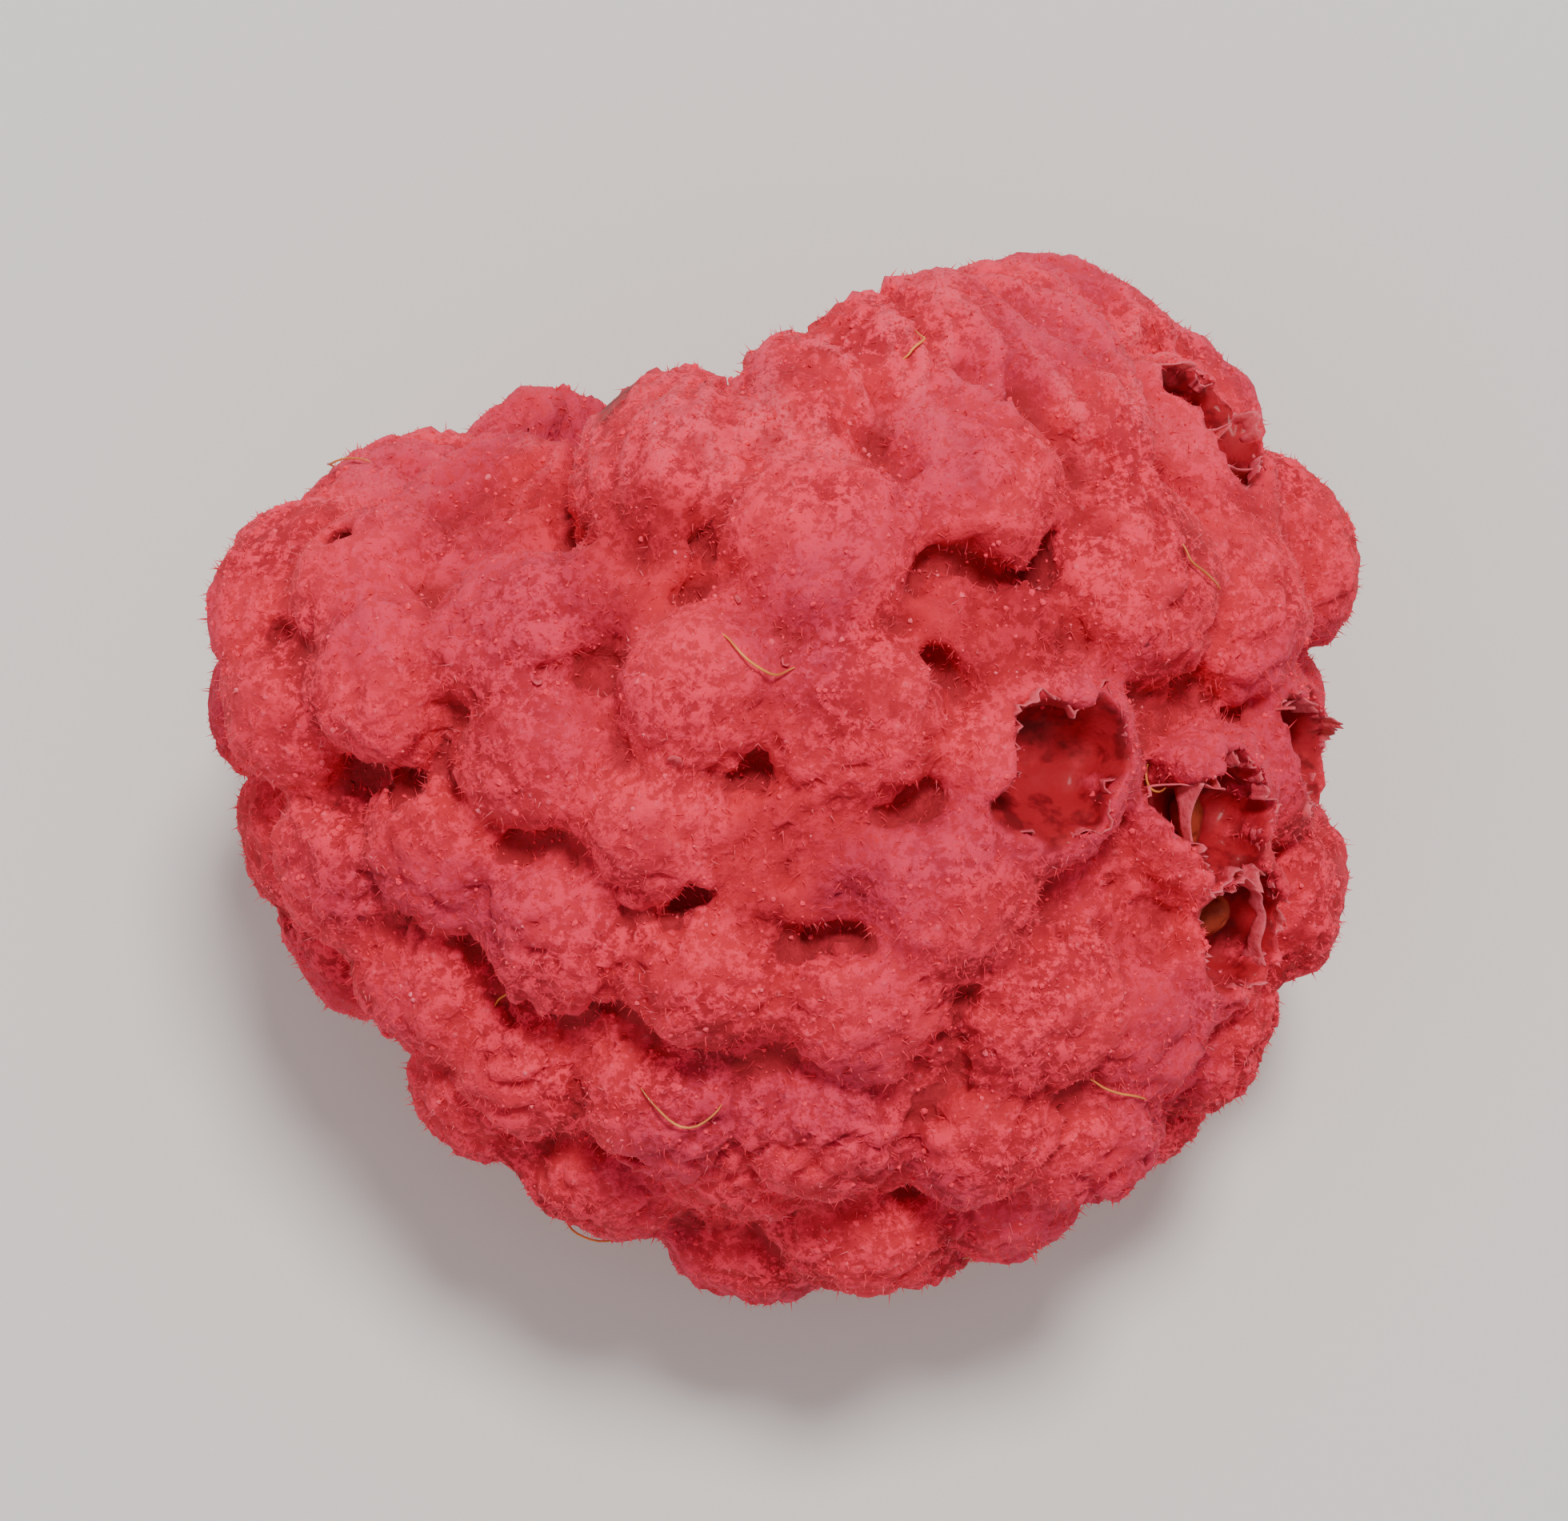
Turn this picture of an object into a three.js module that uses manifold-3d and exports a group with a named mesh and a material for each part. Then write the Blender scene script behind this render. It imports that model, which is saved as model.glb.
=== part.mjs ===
// A freeze-dried raspberry, lying on its side: rows of dry drupelets, grown together round the
// hollow that a picked raspberry has. It is one piece, in millimetres, with +Z up. The tip points
// to -Y and the mouth of the hollow to +Y, a little turned and tipped, as the berry came to rest.

import * as THREE from "three";
import { ParametricGeometry } from "three/addons/geometries/ParametricGeometry.js";
import { mergeVertices } from "three/addons/utils/BufferGeometryUtils.js";
import Module from "manifold-3d";

// The outside of the berry, over its drupelets.
const WIDTH = 19.1;
const TIP_LENGTH = 10.7; // along the axis, from the widest row to the tip
const RIM_LENGTH = 7; // along the axis, from the widest row towards the mouth
const TOP_FLATNESS = 0.83; // height over half width, on the upper side
const UNDERSIDE_FLATNESS = 0.7; // the same on the side that it lies on, where it has sagged
const TIP_TAPER = 1.14; // 1 is a round tip, and more is a more pointed one
const TIP_SHIFT = 1.2; // how far the tip has grown to the right of the axis
const SHOULDER = { around: 152, turn: 130, width: 36, swell: 0.24 };

// The drupelets.
const PITCH = 2.9; // from one to the next in a row
const ROW_PITCH = 2.45; // from row to row
const LAST_ROW_TURN = 141; // degrees round from the tip, where the rim turns into the mouth
const DRUPELET_WIDTH = 3.5; // wider than the pitch, so neighbours grow into each other
const DOME_HEIGHT = 1.15; // how far a drupelet stands out of the bed
const ROOT_DEPTH = 2; // how far it reaches into the bed
const RIM_STRETCH = 1.35; // drupelets of the rim are longer than wide
const RIM_NARROWING = 0.9;
const DRUPELET_SIDES = 8;
const SIZE_SPREAD = 0.34; // from the smallest to the largest, as a share
const PLACE_SPREAD = 0.32; // from a row's even step, as a share of that step
const SINK_SPREAD = 0.6;
const SUNKEN_HEIGHT = 0.62; // what is left of a collapsed drupelet's height
const SEED = 4127;

// Drupelets that the photo shows: millimetres right of the berry's middle and above it, as seen
// from where the photo was taken, and a size. The rest of the berry follows the rows.
const WHOLE = [
  [-1.3, 1.4, 1], [-4, 0.3, 1], [-2, -1, 1], [-6.6, 1.6, 1.1], [0.8, 4.2, 1.15],
  [3.5, 5.1, 1.1], [6.3, 3.4, 1.15], [1.4, 0.9, 0.95], [-3.7, -2.8, 1], [-1.2, -3.4, 1],
  [-5.8, -1.5, 0.95], [3, -2, 1.1], [-1.7, 5.6, 1.05], [3, 7.7, 1.15], [5.3, 6.5, 1],
  [-8.7, 3.7, 1.05], [-8.6, 0.8, 1], [1.5, -3.9, 1], [4.6, -4, 1], [-6.2, -3.9, 1],
  [-2, -5.9, 1], [0.8, -6.2, 1], [3.6, -6.3, 1], [6.5, -4.4, 1], [8.4, 3.1, 1],
  [-7.7, -1.8, 1], [-4.5, -5.2, 1], [-6.9, 5.2, 1], [-4.5, 2.8, 1], [0.5, 6.7, 0.95],
  [-7.9, 6, 1],
];
const COLLAPSED = [
  [-4.7, 5, 1.2], [0.2, -1.4, 0.95], [3.6, 2.9, 0.9], [-2.4, 3.9, 0.9],
];
const BROKEN = [
  [4.7, 0.3, 1.15], [7.6, -0.6, 0.95], [8, -2.6, 1], [7.7, 6, 1], [9.3, 0.5, 0.85],
];
const VIEW_ELEVATION = 81; // degrees, of the view that they are read from
const VIEW_MIDDLE = { x: -0.3, up: -1.65 }; // of the berry in that view, from the axes' crossing
const CROWDING = 0.6; // a row's drupelet closer than this to a seen one, in pitches, is left out
const RIM_CROWDING = 0.42; // the same at the rim

// Drupelets of the far side: degrees round the berry and millimetres from the tip.
const BROKEN_BELOW = [
  { around: 206, along: 12.4 },
  { around: 287, along: 7.2 },
];
const COLLAPSED_BELOW = [
  { around: 232, along: 15.4 },
  { around: 318, along: 11.2 },
];
const PIT_WIDTH = 2.1;
const PIT_DEPTH = 1.25;

// The hollow, and the dent in its rim.
const MOUTH_WIDTH = 8.8;
const MOUTH_HEIGHT = 7.8;
const HOLLOW_DEPTH = 11.4;
const HOLLOW_TAPER = 0.34; // how much narrower it is near its end
const HOLLOW_CELLS = 12; // inner ends of drupelets round the hollow
const HOLLOW_ROWS = 6;
const HOLLOW_RELIEF = 0.3;
const HOLLOW_BLUNTNESS = 5; // 2 is a round end, and more is a blunter one
const HOLLOW_SIDES = 28;
const HOLLOW_STEPS = 13;
const BED_SIDES = 20;
const BED_STEPS = 12;
const DENT = { around: 128, width: 17, depth: 1.1, inward: 0.1 };
const RIM_SLANT = 0.9; // how much further the rim reaches on its right side than on its left

// How it lies: tipped on to its tapered side, and turned on the surface.
const LEAN = 11; // degrees, tip down
const TURN = 5; // degrees, mouth to the left as seen from above
const REST_CUT = 0.5; // flattened where the lowest drupelets bear on the surface

const wasm = await Module();
wasm.setup();

const radians = THREE.MathUtils.degToRad;
const bedRadius = WIDTH / 2 - DOME_HEIGHT;
const tipLength = TIP_LENGTH - DOME_HEIGHT;
const rimLength = RIM_LENGTH - DOME_HEIGHT;
const lie = new THREE.Matrix4()
  .makeRotationZ(radians(TURN))
  .multiply(new THREE.Matrix4().makeRotationX(radians(LEAN)));

// The same draws at every build, each from 0 to 1.
function seededDraws(seed) {
  let state = seed;
  return () => {
    state = (state * 16807) % 2147483647;
    return state / 2147483647;
  };
}

function smoothStep(low, high, value) {
  return THREE.MathUtils.smoothstep(value, low, high);
}

// The bed's outline in a half plane through the axis, by degrees from the tip.
function outline(turn) {
  const t = radians(turn);
  const past = turn > 90;
  const share = Math.abs(Math.sin(t)) ** (past ? 1 : TIP_TAPER);
  return {
    radius: bedRadius * Math.sign(turn) * share,
    axial: -Math.cos(t) * (past ? rimLength : tipLength),
  };
}

// Distances from the tip along that outline, a degree apart.
const distances = [0];
for (let turn = 1; turn <= 180; turn++) {
  const [from, to] = [outline(turn - 1), outline(turn)];
  distances.push(
    distances[turn - 1] + Math.hypot(to.radius - from.radius, to.axial - from.axial),
  );
}

function turnAt(along) {
  const turn = Math.max(
    1,
    distances.findIndex((d) => d >= along),
  );
  return turn - (distances[turn] - along) / (distances[turn] - distances[turn - 1]);
}

// How far round it is from one place to another, from -180 to 180 degrees.
function degreesFrom(place, around) {
  return ((around - place + 540) % 360) - 180;
}

// How the dry berry departs from an even shape, as a share of its radius.
function lumps(turn, around) {
  const a = radians(around);
  const t = radians(turn);
  const toShoulder = Math.hypot(degreesFrom(SHOULDER.around, around), turn - SHOULDER.turn);
  return (
    1 +
    SHOULDER.swell * Math.exp(-((toShoulder / SHOULDER.width) ** 2)) +
    Math.sin(t) *
      (0.022 * Math.sin(2 * a + 1.9 * t) +
        0.02 * Math.sin(3 * a - 2.3 * t + 0.7) +
        0.012 * Math.sin(5 * a + 3.1 * t + 2))
  );
}

// A point of the bed that the drupelets stand on, before the berry is tipped over.
function bedPoint(turn, around) {
  const a = radians(around);
  const { radius, axial } = outline(turn);
  const upper = (1 + Math.sin(a)) / 2;
  const flatness = THREE.MathUtils.lerp(UNDERSIDE_FLATNESS, TOP_FLATNESS, upper);
  const atRim = smoothStep(80, LAST_ROW_TURN, turn);
  const fromDent = degreesFrom(DENT.around, around) / DENT.width;
  const dent = atRim * Math.exp(-fromDent * fromDent);
  const reach = radius * lumps(turn, around) * (1 - DENT.inward * dent);
  return new THREE.Vector3(
    reach * Math.cos(a) + TIP_SHIFT * (Math.min(axial, 0) / tipLength) ** 2,
    axial + atRim * RIM_SLANT * Math.cos(a) - DENT.depth * dent,
    reach * flatness * Math.sin(a),
  );
}

// The outward direction of the bed there.
function bedNormal(turn, around) {
  if (turn < 1) return new THREE.Vector3(0, -1, 0);
  const across = bedPoint(turn, around + 1).sub(bedPoint(turn, around - 1));
  const down = bedPoint(turn + 1, around).sub(bedPoint(turn - 1, around));
  return down.cross(across).normalize();
}

// Even steps round the flattened section: an angle for a share of the way round.
function angleFor(share) {
  const t = share * 2 * Math.PI;
  return THREE.MathUtils.radToDeg(t + 0.06 * Math.sin(2 * t));
}

function isNear(spots, along, around) {
  return spots.some((spot) => {
    const sideways =
      radians(degreesFrom(spot.around, around)) * outline(turnAt(along)).radius;
    return Math.hypot(sideways, along - spot.along) < PITCH / 2;
  });
}

// How far a place on the bed is from a spot of the photo, as seen from there.
function missedBy(x, up, turn, around) {
  const out = bedNormal(turn, around);
  const top = bedPoint(turn, around).addScaledVector(out, DOME_HEIGHT).applyMatrix4(lie);
  const e = radians(VIEW_ELEVATION);
  const seenUp = top.y * Math.sin(e) + top.z * Math.cos(e);
  return Math.hypot(top.x - VIEW_MIDDLE.x - x, seenUp - VIEW_MIDDLE.up - up);
}

// The place on the upper side that the photo shows at a spot, closed in on in smaller steps.
function placeSeenAt(x, up) {
  let best = { turn: 75, around: 90 };
  let miss = missedBy(x, up, best.turn, best.around);
  for (let step = 32; step > 0.2; step /= 2) {
    let moved = true;
    while (moved) {
      moved = false;
      for (const [dTurn, dAround] of [[step, 0], [-step, 0], [0, step], [0, -step]]) {
        const turn = THREE.MathUtils.clamp(best.turn + dTurn, 3, LAST_ROW_TURN);
        const around = THREE.MathUtils.clamp(best.around + dAround, 0, 180);
        const next = missedBy(x, up, turn, around);
        if (next < miss - 1e-6) {
          best = { turn, around };
          miss = next;
          moved = true;
        }
      }
    }
  }
  return best;
}

// The drupelets that the photo shows.
function seenDrupelets() {
  const stateOf = (state) => ([x, up, size]) => {
    const place = placeSeenAt(x, up);
    const rim = smoothStep(LAST_ROW_TURN - 35, LAST_ROW_TURN - 5, place.turn);
    return { ...place, size, sink: 0, rim, collapsed: false, broken: false, ...state };
  };
  return [
    ...WHOLE.map(stateOf({})),
    ...COLLAPSED.map(stateOf({ collapsed: true })),
    ...BROKEN.map(stateOf({ broken: true })),
  ];
}

// Row by row from the tip, each drupelet with its own size, place and state.
function drupeletsInRows() {
  const draw = seededDraws(SEED);
  const placed = [];
  const rows = Math.round(distances[LAST_ROW_TURN] / ROW_PITCH);
  for (let row = 0; row <= rows; row++) {
    const { radius } = outline(turnAt((row * distances[LAST_ROW_TURN]) / rows));
    const girth = Math.PI * radius * (1 + (TOP_FLATNESS + UNDERSIDE_FLATNESS) / 2);
    const count = Math.max(1, Math.round(girth / PITCH));
    const rim = smoothStep(rows - 2, rows, row);
    for (let place = 0; place < count; place++) {
      const loose = row === 0 ? 0 : PLACE_SPREAD;
      const share = (place + (row % 2) / 2 + loose * (draw() - 0.5)) / count;
      const shift = row === rows ? 0 : loose * (draw() - 0.5);
      const along = ((row + shift) * distances[LAST_ROW_TURN]) / rows;
      const size = 1 + SIZE_SPREAD * (draw() - 0.5);
      const sink = SINK_SPREAD * (draw() - 0.5);
      const around = angleFor(share);
      const collapsed = isNear(COLLAPSED_BELOW, along, around);
      const broken = isNear(BROKEN_BELOW, along, around);
      placed.push({ turn: turnAt(along), around, size, sink, rim, collapsed, broken });
    }
  }
  return placed;
}

// Every drupelet: those in rows, less the ones that the seen ones take the room of.
function placeDrupelets() {
  const seen = seenDrupelets();
  const at = ({ turn, around }) => bedPoint(turn, around);
  const hasRoom = (drupelet) => {
    const room = THREE.MathUtils.lerp(CROWDING, RIM_CROWDING, drupelet.rim) * PITCH;
    return seen.every((other) => at(other).distanceTo(at(drupelet)) > room);
  };
  return [...seen, ...drupeletsInRows().filter(hasRoom)];
}

// Joined corners, with the faces that closed up at a pole or a seam left out.
function closed(geometry) {
  const bare = new THREE.BufferGeometry()
    .setAttribute("position", geometry.getAttribute("position"))
    .setIndex(geometry.index);
  const merged = mergeVertices(bare, 1e-4);
  const corners = [];
  const index = merged.index.array;
  for (let i = 0; i < index.length; i += 3) {
    const [a, b, c] = index.slice(i, i + 3);
    if (a !== b && b !== c && c !== a) corners.push(a, b, c);
  }
  return merged.setIndex(corners);
}

// Stands a shape made round +Y on the bed, with X along the row and Z from the tip to the rim.
function standing(geometry, { turn, around, sink }) {
  const out = bedNormal(turn, around);
  const towardsRim = bedPoint(turn + 1, around).sub(bedPoint(turn - 1, around));
  const alongRow = new THREE.Vector3().crossVectors(out, towardsRim).normalize();
  const forward = new THREE.Vector3().crossVectors(alongRow, out);
  const place = bedPoint(turn, around).addScaledVector(out, -sink);
  return geometry
    .applyMatrix4(new THREE.Matrix4().makeBasis(alongRow, out, forward))
    .translate(place.x, place.y, place.z);
}

// A drupelet: a low dome on a root that narrows into the bed.
function drupeletGeometry(drupelet) {
  const half = (DRUPELET_WIDTH / 2) * drupelet.size;
  const height =
    DOME_HEIGHT * drupelet.size * (drupelet.collapsed ? SUNKEN_HEIGHT : 1);
  const profile = [
    [0, -ROOT_DEPTH],
    [1, 0],
    [0.87, 0.5 * height],
    [0.5, 0.87 * height],
    [0, height],
  ].map(([share, up]) => new THREE.Vector2(share * half, up));
  const geometry = closed(new THREE.LatheGeometry(profile, DRUPELET_SIDES)).scale(
    THREE.MathUtils.lerp(1, RIM_NARROWING, drupelet.rim),
    1,
    THREE.MathUtils.lerp(1, RIM_STRETCH, drupelet.rim),
  );
  return standing(geometry, drupelet);
}

// The opening in a broken drupelet, as a cutter.
function pitGeometry(drupelet) {
  const top = DOME_HEIGHT * drupelet.size;
  const half = (PIT_WIDTH / 2) * drupelet.size;
  const profile = [
    [0, top - PIT_DEPTH],
    [0.75, top - PIT_DEPTH * 0.85],
    [1, top - PIT_DEPTH * 0.35],
    [1, top + PIT_DEPTH],
    [0, top + PIT_DEPTH],
  ].map(([share, up]) => new THREE.Vector2(share * half, up));
  return standing(closed(new THREE.LatheGeometry(profile, DRUPELET_SIDES)), drupelet);
}

// The dried pulp that the drupelets stand on, closed across the mouth.
function bedGeometry() {
  const closing = 0.11; // the last share of the way from the tip, across the mouth
  const rimCentre = outline(LAST_ROW_TURN).axial;
  const place = (u, v, target) => {
    const turn = LAST_ROW_TURN * Math.min(v / (1 - closing), 1);
    const inMouth = smoothStep(1 - closing, 1, v);
    const reach = 1 - inMouth;
    target.copy(bedPoint(turn, 360 * u)).multiply({ x: reach, y: 1, z: reach });
    target.y = THREE.MathUtils.lerp(target.y, rimCentre, inMouth);
  };
  return closed(new ParametricGeometry(place, BED_SIDES, BED_STEPS));
}

// The hollow, as a cutter, with the inner ends of the drupelets standing into it.
function hollowGeometry() {
  const lid = 0.06; // the first share of the way, across the mouth
  const mouth = outline(LAST_ROW_TURN).axial + 3 * DOME_HEIGHT;
  const depth = HOLLOW_DEPTH + 2 * DOME_HEIGHT;
  const place = (u, v, target) => {
    const a = radians(360 * u);
    const deep = Math.min(1, Math.max(0, (v - lid) / (1 - lid)));
    const round = Math.sqrt(Math.max(0, 1 - deep ** HOLLOW_BLUNTNESS));
    const cells =
      Math.abs(Math.cos((HOLLOW_CELLS / 2) * a)) *
      Math.abs(Math.cos(HOLLOW_ROWS * Math.PI * deep));
    const inset = HOLLOW_RELIEF * cells * smoothStep(0.1, 0.3, deep) * round;
    const share = (1 - HOLLOW_TAPER * deep) * round;
    const across = Math.min(1, v / lid);
    target.set(
      across * ((MOUTH_WIDTH / 2) * share - inset) * Math.cos(a),
      mouth - depth * deep,
      across * ((MOUTH_HEIGHT / 2) * share - inset) * Math.sin(a),
    );
  };
  return closed(new ParametricGeometry(place, HOLLOW_SIDES, HOLLOW_STEPS));
}

// A closed mesh as a solid for joining and cutting, with its faces pointing out.
function solidOf(mesh) {
  const made = (triVerts) =>
    new wasm.Manifold(
      new wasm.Mesh({
        numProp: 3,
        vertProperties: new Float32Array(mesh.getAttribute("position").array),
        triVerts: new Uint32Array(triVerts),
      }),
    );
  const solid = made(mesh.index.array);
  return solid.volume() > 0 ? solid : made([...mesh.index.array].reverse());
}

function geometryOf(solid) {
  const { vertProperties, triVerts } = solid.getMesh();
  return new THREE.BufferGeometry()
    .setAttribute("position", new THREE.BufferAttribute(vertProperties, 3))
    .setIndex(new THREE.BufferAttribute(triVerts, 1));
}

// The solid without the small bubbles shut in between drupelets: its outer skin only.
function withoutBubbles(solid) {
  const geometry = geometryOf(solid);
  const index = geometry.index.array;
  const leader = Array.from({ length: geometry.getAttribute("position").count }, (_, i) => i);
  const find = (corner) => {
    let at = corner;
    while (leader[at] !== at) at = leader[at];
    leader[corner] = at;
    return at;
  };
  for (let i = 0; i < index.length; i += 3) {
    leader[find(index[i + 1])] = find(index[i]);
    leader[find(index[i + 2])] = find(index[i]);
  }
  const faces = new Map();
  for (let i = 0; i < index.length; i += 3) {
    const skin = find(index[i]);
    if (!faces.has(skin)) faces.set(skin, []);
    faces.get(skin).push(index[i], index[i + 1], index[i + 2]);
  }
  const skins = [...faces.values()].sort((a, b) => b.length - a.length);
  return solidOf(geometry.setIndex(skins[0]));
}

// The berry as it grew, then tipped over and flattened where it bears on the surface.
function berryGeometry() {
  const drupelets = placeDrupelets();
  const laid = (geometry) => solidOf(geometry.applyMatrix4(lie));
  let berry = laid(bedGeometry());
  for (const drupelet of drupelets) berry = berry.add(laid(drupeletGeometry(drupelet)));
  berry = berry.subtract(laid(hollowGeometry()));
  for (const drupelet of drupelets.filter((d) => d.broken)) {
    berry = berry.subtract(laid(pitGeometry(drupelet)));
  }
  berry = withoutBubbles(berry);
  const whole = geometryOf(berry);
  whole.computeBoundingBox();
  const floor = closed(new THREE.BoxGeometry(3 * WIDTH, 3 * WIDTH, WIDTH));
  floor.translate(0, 0, whole.boundingBox.min.z + REST_CUT - WIDTH / 2);
  return geometryOf(berry.subtract(solidOf(floor)));
}

// The origin is on the surface, under the middle of the berry's box.
function atOrigin(geometry) {
  geometry.computeBoundingBox();
  const { min } = geometry.boundingBox;
  const middle = geometry.boundingBox.getCenter(new THREE.Vector3());
  return geometry.translate(-middle.x, -middle.y, -min.z);
}

const driedFruit = new THREE.MeshStandardMaterial({
  color: new THREE.Color().setStyle("rgb(200, 62, 72)"),
  roughness: 0.9,
  metalness: 0,
});

const raspberry = new THREE.Mesh(atOrigin(berryGeometry()), driedFruit);
raspberry.name = "raspberry";

const part = new THREE.Group();
part.add(raspberry);
export default part;
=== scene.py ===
"""The looks of a freeze-dried raspberry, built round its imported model. Sizes are in millimetres
while a piece is modelled, and each finished mesh is brought to metres."""

import math
import random

import bmesh
import bpy
import numpy as np
from mathutils import Matrix, Vector, noise
from mathutils.bvhtree import BVHTree


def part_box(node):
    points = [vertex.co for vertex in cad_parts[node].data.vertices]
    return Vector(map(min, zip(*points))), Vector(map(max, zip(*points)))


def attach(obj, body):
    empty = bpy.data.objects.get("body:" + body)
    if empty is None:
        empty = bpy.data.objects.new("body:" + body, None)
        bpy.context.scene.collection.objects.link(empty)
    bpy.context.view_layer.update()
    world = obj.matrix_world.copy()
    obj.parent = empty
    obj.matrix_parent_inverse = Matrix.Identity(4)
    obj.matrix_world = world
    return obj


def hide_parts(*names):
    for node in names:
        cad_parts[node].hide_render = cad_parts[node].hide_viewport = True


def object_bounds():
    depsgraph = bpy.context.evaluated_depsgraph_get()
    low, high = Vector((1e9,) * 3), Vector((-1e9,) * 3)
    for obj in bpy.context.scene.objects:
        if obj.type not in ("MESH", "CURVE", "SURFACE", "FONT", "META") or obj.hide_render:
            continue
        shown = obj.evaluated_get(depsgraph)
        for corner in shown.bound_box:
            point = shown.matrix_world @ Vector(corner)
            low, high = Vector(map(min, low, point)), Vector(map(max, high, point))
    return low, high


bl_info = {
    "name": "Freeze-dried raspberry",
    "version": (1, 0, 0),
    "blender": (4, 5, 0),
    "location": "View3D > Sidebar > Raspberry",
    "description": "Models and finishes a freeze-dried raspberry that lies on its side",
    "category": "Add Mesh",
}

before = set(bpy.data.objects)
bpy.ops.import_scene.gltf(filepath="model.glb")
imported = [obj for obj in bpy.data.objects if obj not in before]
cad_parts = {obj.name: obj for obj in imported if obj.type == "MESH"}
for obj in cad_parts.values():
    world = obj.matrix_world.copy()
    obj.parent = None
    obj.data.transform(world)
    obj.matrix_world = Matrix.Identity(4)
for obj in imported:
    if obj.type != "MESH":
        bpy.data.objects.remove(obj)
CAD_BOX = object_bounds()
BERRY_LOW, BERRY_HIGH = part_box("raspberry")
MM = 0.001

# The outside of the berry, over its drupelets, and the swollen shoulder beside its mouth.
WIDTH = 19.1
TIP_LENGTH = 10.7
RIM_LENGTH = 7.0
TOP_FLATNESS = 0.83
UNDERSIDE_FLATNESS = 0.7
TIP_TAPER = 1.14
TIP_SHIFT = 1.2
SHOULDER = {"around": 152, "turn": 130, "width": 36, "swell": 0.24}

# The drupelets, as in the model.
PITCH = 2.9
ROW_PITCH = 2.45
LAST_ROW_TURN = 141
DRUPELET_WIDTH = 3.5
DOME_HEIGHT = 1.15
FULLNESS = 2.15
ROOT_DEPTH = 2.0
RIM_STRETCH = 1.35
RIM_NARROWING = 0.9
SIZE_SPREAD = 0.34
PLACE_SPREAD = 0.32
SINK_SPREAD = 0.6
SUNKEN_HEIGHT = 0.62
SEED = 4127

# Drupelets that the photo shows: millimetres right of the berry's middle and above it, as seen
# from where the photo was taken, and a size.
WHOLE = [
    (-1.3, 1.4, 1), (-4, 0.3, 1), (-2, -1, 1), (-6.6, 1.6, 1.1), (0.8, 4.2, 1.15),
    (3.5, 5.1, 1.1), (6.3, 3.4, 1.15), (1.4, 0.9, 0.95), (-3.7, -2.8, 1), (-1.2, -3.4, 1),
    (-5.8, -1.5, 0.95), (3, -2, 1.1), (-1.7, 5.6, 1.05), (3, 7.7, 1.15), (5.3, 6.5, 1),
    (-8.7, 3.7, 1.05), (-8.6, 0.8, 1), (1.5, -3.9, 1), (4.6, -4, 1), (-6.2, -3.9, 1),
    (-2, -5.9, 1), (0.8, -6.2, 1), (3.6, -6.3, 1), (6.5, -4.4, 1), (8.4, 3.1, 1),
    (-7.7, -1.8, 1), (-4.5, -5.2, 1), (-6.9, 5.2, 1), (-4.5, 2.8, 1), (0.5, 6.7, 0.95),
    (-7.9, 6, 1),
]
COLLAPSED = [(-4.7, 5, 1.2), (0.2, -1.4, 0.95), (3.6, 2.9, 0.9), (-2.4, 3.9, 0.9)]
BROKEN = [(4.7, 0.3, 1.15), (7.6, -0.6, 0.95), (8, -2.6, 1), (7.7, 6, 1), (9.3, 0.5, 0.85)]
# How steeply the photo looks down, in degrees, and where the berry's middle is from there.
VIEW_ELEVATION = 81
VIEW_MIDDLE = (-0.3, -1.65)
# How near to a seen drupelet another may stand, as a share of the pitch.
CROWDING = 0.6
RIM_CROWDING = 0.42
# Broken and collapsed ones out of sight: degrees round the axis, and the way along from the tip.
BROKEN_BELOW = [(206, 12.4), (287, 7.2)]
COLLAPSED_BELOW = [(232, 15.4), (318, 11.2)]
PIT_WIDTH = 2.1
PIT_DEPTH = 1.25

# The hollow, the dent in its rim, and how the berry lies.
MOUTH_WIDTH = 8.8
MOUTH_HEIGHT = 7.8
HOLLOW_DEPTH = 11.4
HOLLOW_TAPER = 0.34
HOLLOW_CELLS = 12
HOLLOW_ROWS = 6
HOLLOW_BLUNTNESS = 5
HOLLOW_PORES = 34
RIM_WINDOWS = 0.4
HOLLOW_BITS = 260
DENT = {"around": 128, "width": 17, "depth": 1.1, "inward": 0.1}
RIM_SLANT = 0.9
LEAN = 11
TURN = 5

# Dark clefts that the photo shows: a spot, the direction in the picture in degrees, length, width.
# Each is cut this far up and down from a middle this high above the bed.
CLEFT_REACH = 1.1
CLEFT_MIDDLE = 0.65
CLEFTS = [
    ((-1.5, -2.1), 25, 1.3, 0.38), ((1.0, -2.8), 3, 1.6, 0.42), ((-5.3, -3.1), 10, 0.6, 0.4),
    ((-3.1, -4.2), -6, 1.4, 0.38), ((-0.2, -4.9), 8, 0.8, 0.3), ((-2.4, -6.2), 0, 0.8, 0.42),
    ((2.4, -7.5), 0, 1.0, 0.55), ((-0.1, -7.8), -30, 0.9, 0.4), ((2.6, -5.6), 5, 0.6, 0.34),
    ((3.7, -3.9), 0, 1.0, 0.34), ((-3.7, 1.8), -3, 2.0, 0.34), ((-6.1, -0.2), 25, 1.3, 0.36),
    ((-3.9, -1.1), 15, 1.3, 0.36), ((-0.3, 0.1), 20, 1.0, 0.34), ((-6.9, 3.9), 60, 0.7, 0.4),
    ((-8.4, 2.5), 80, 0.6, 0.4), ((3.6, 3.5), -50, 1.1, 0.46), ((4.6, 3.7), 70, 1.1, 0.34),
    ((2.9, 1.8), -55, 1.1, 0.46), ((6.5, 0.0), 80, 0.9, 0.5), ((2.4, -0.7), 0, 1.1, 0.36),
]

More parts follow.
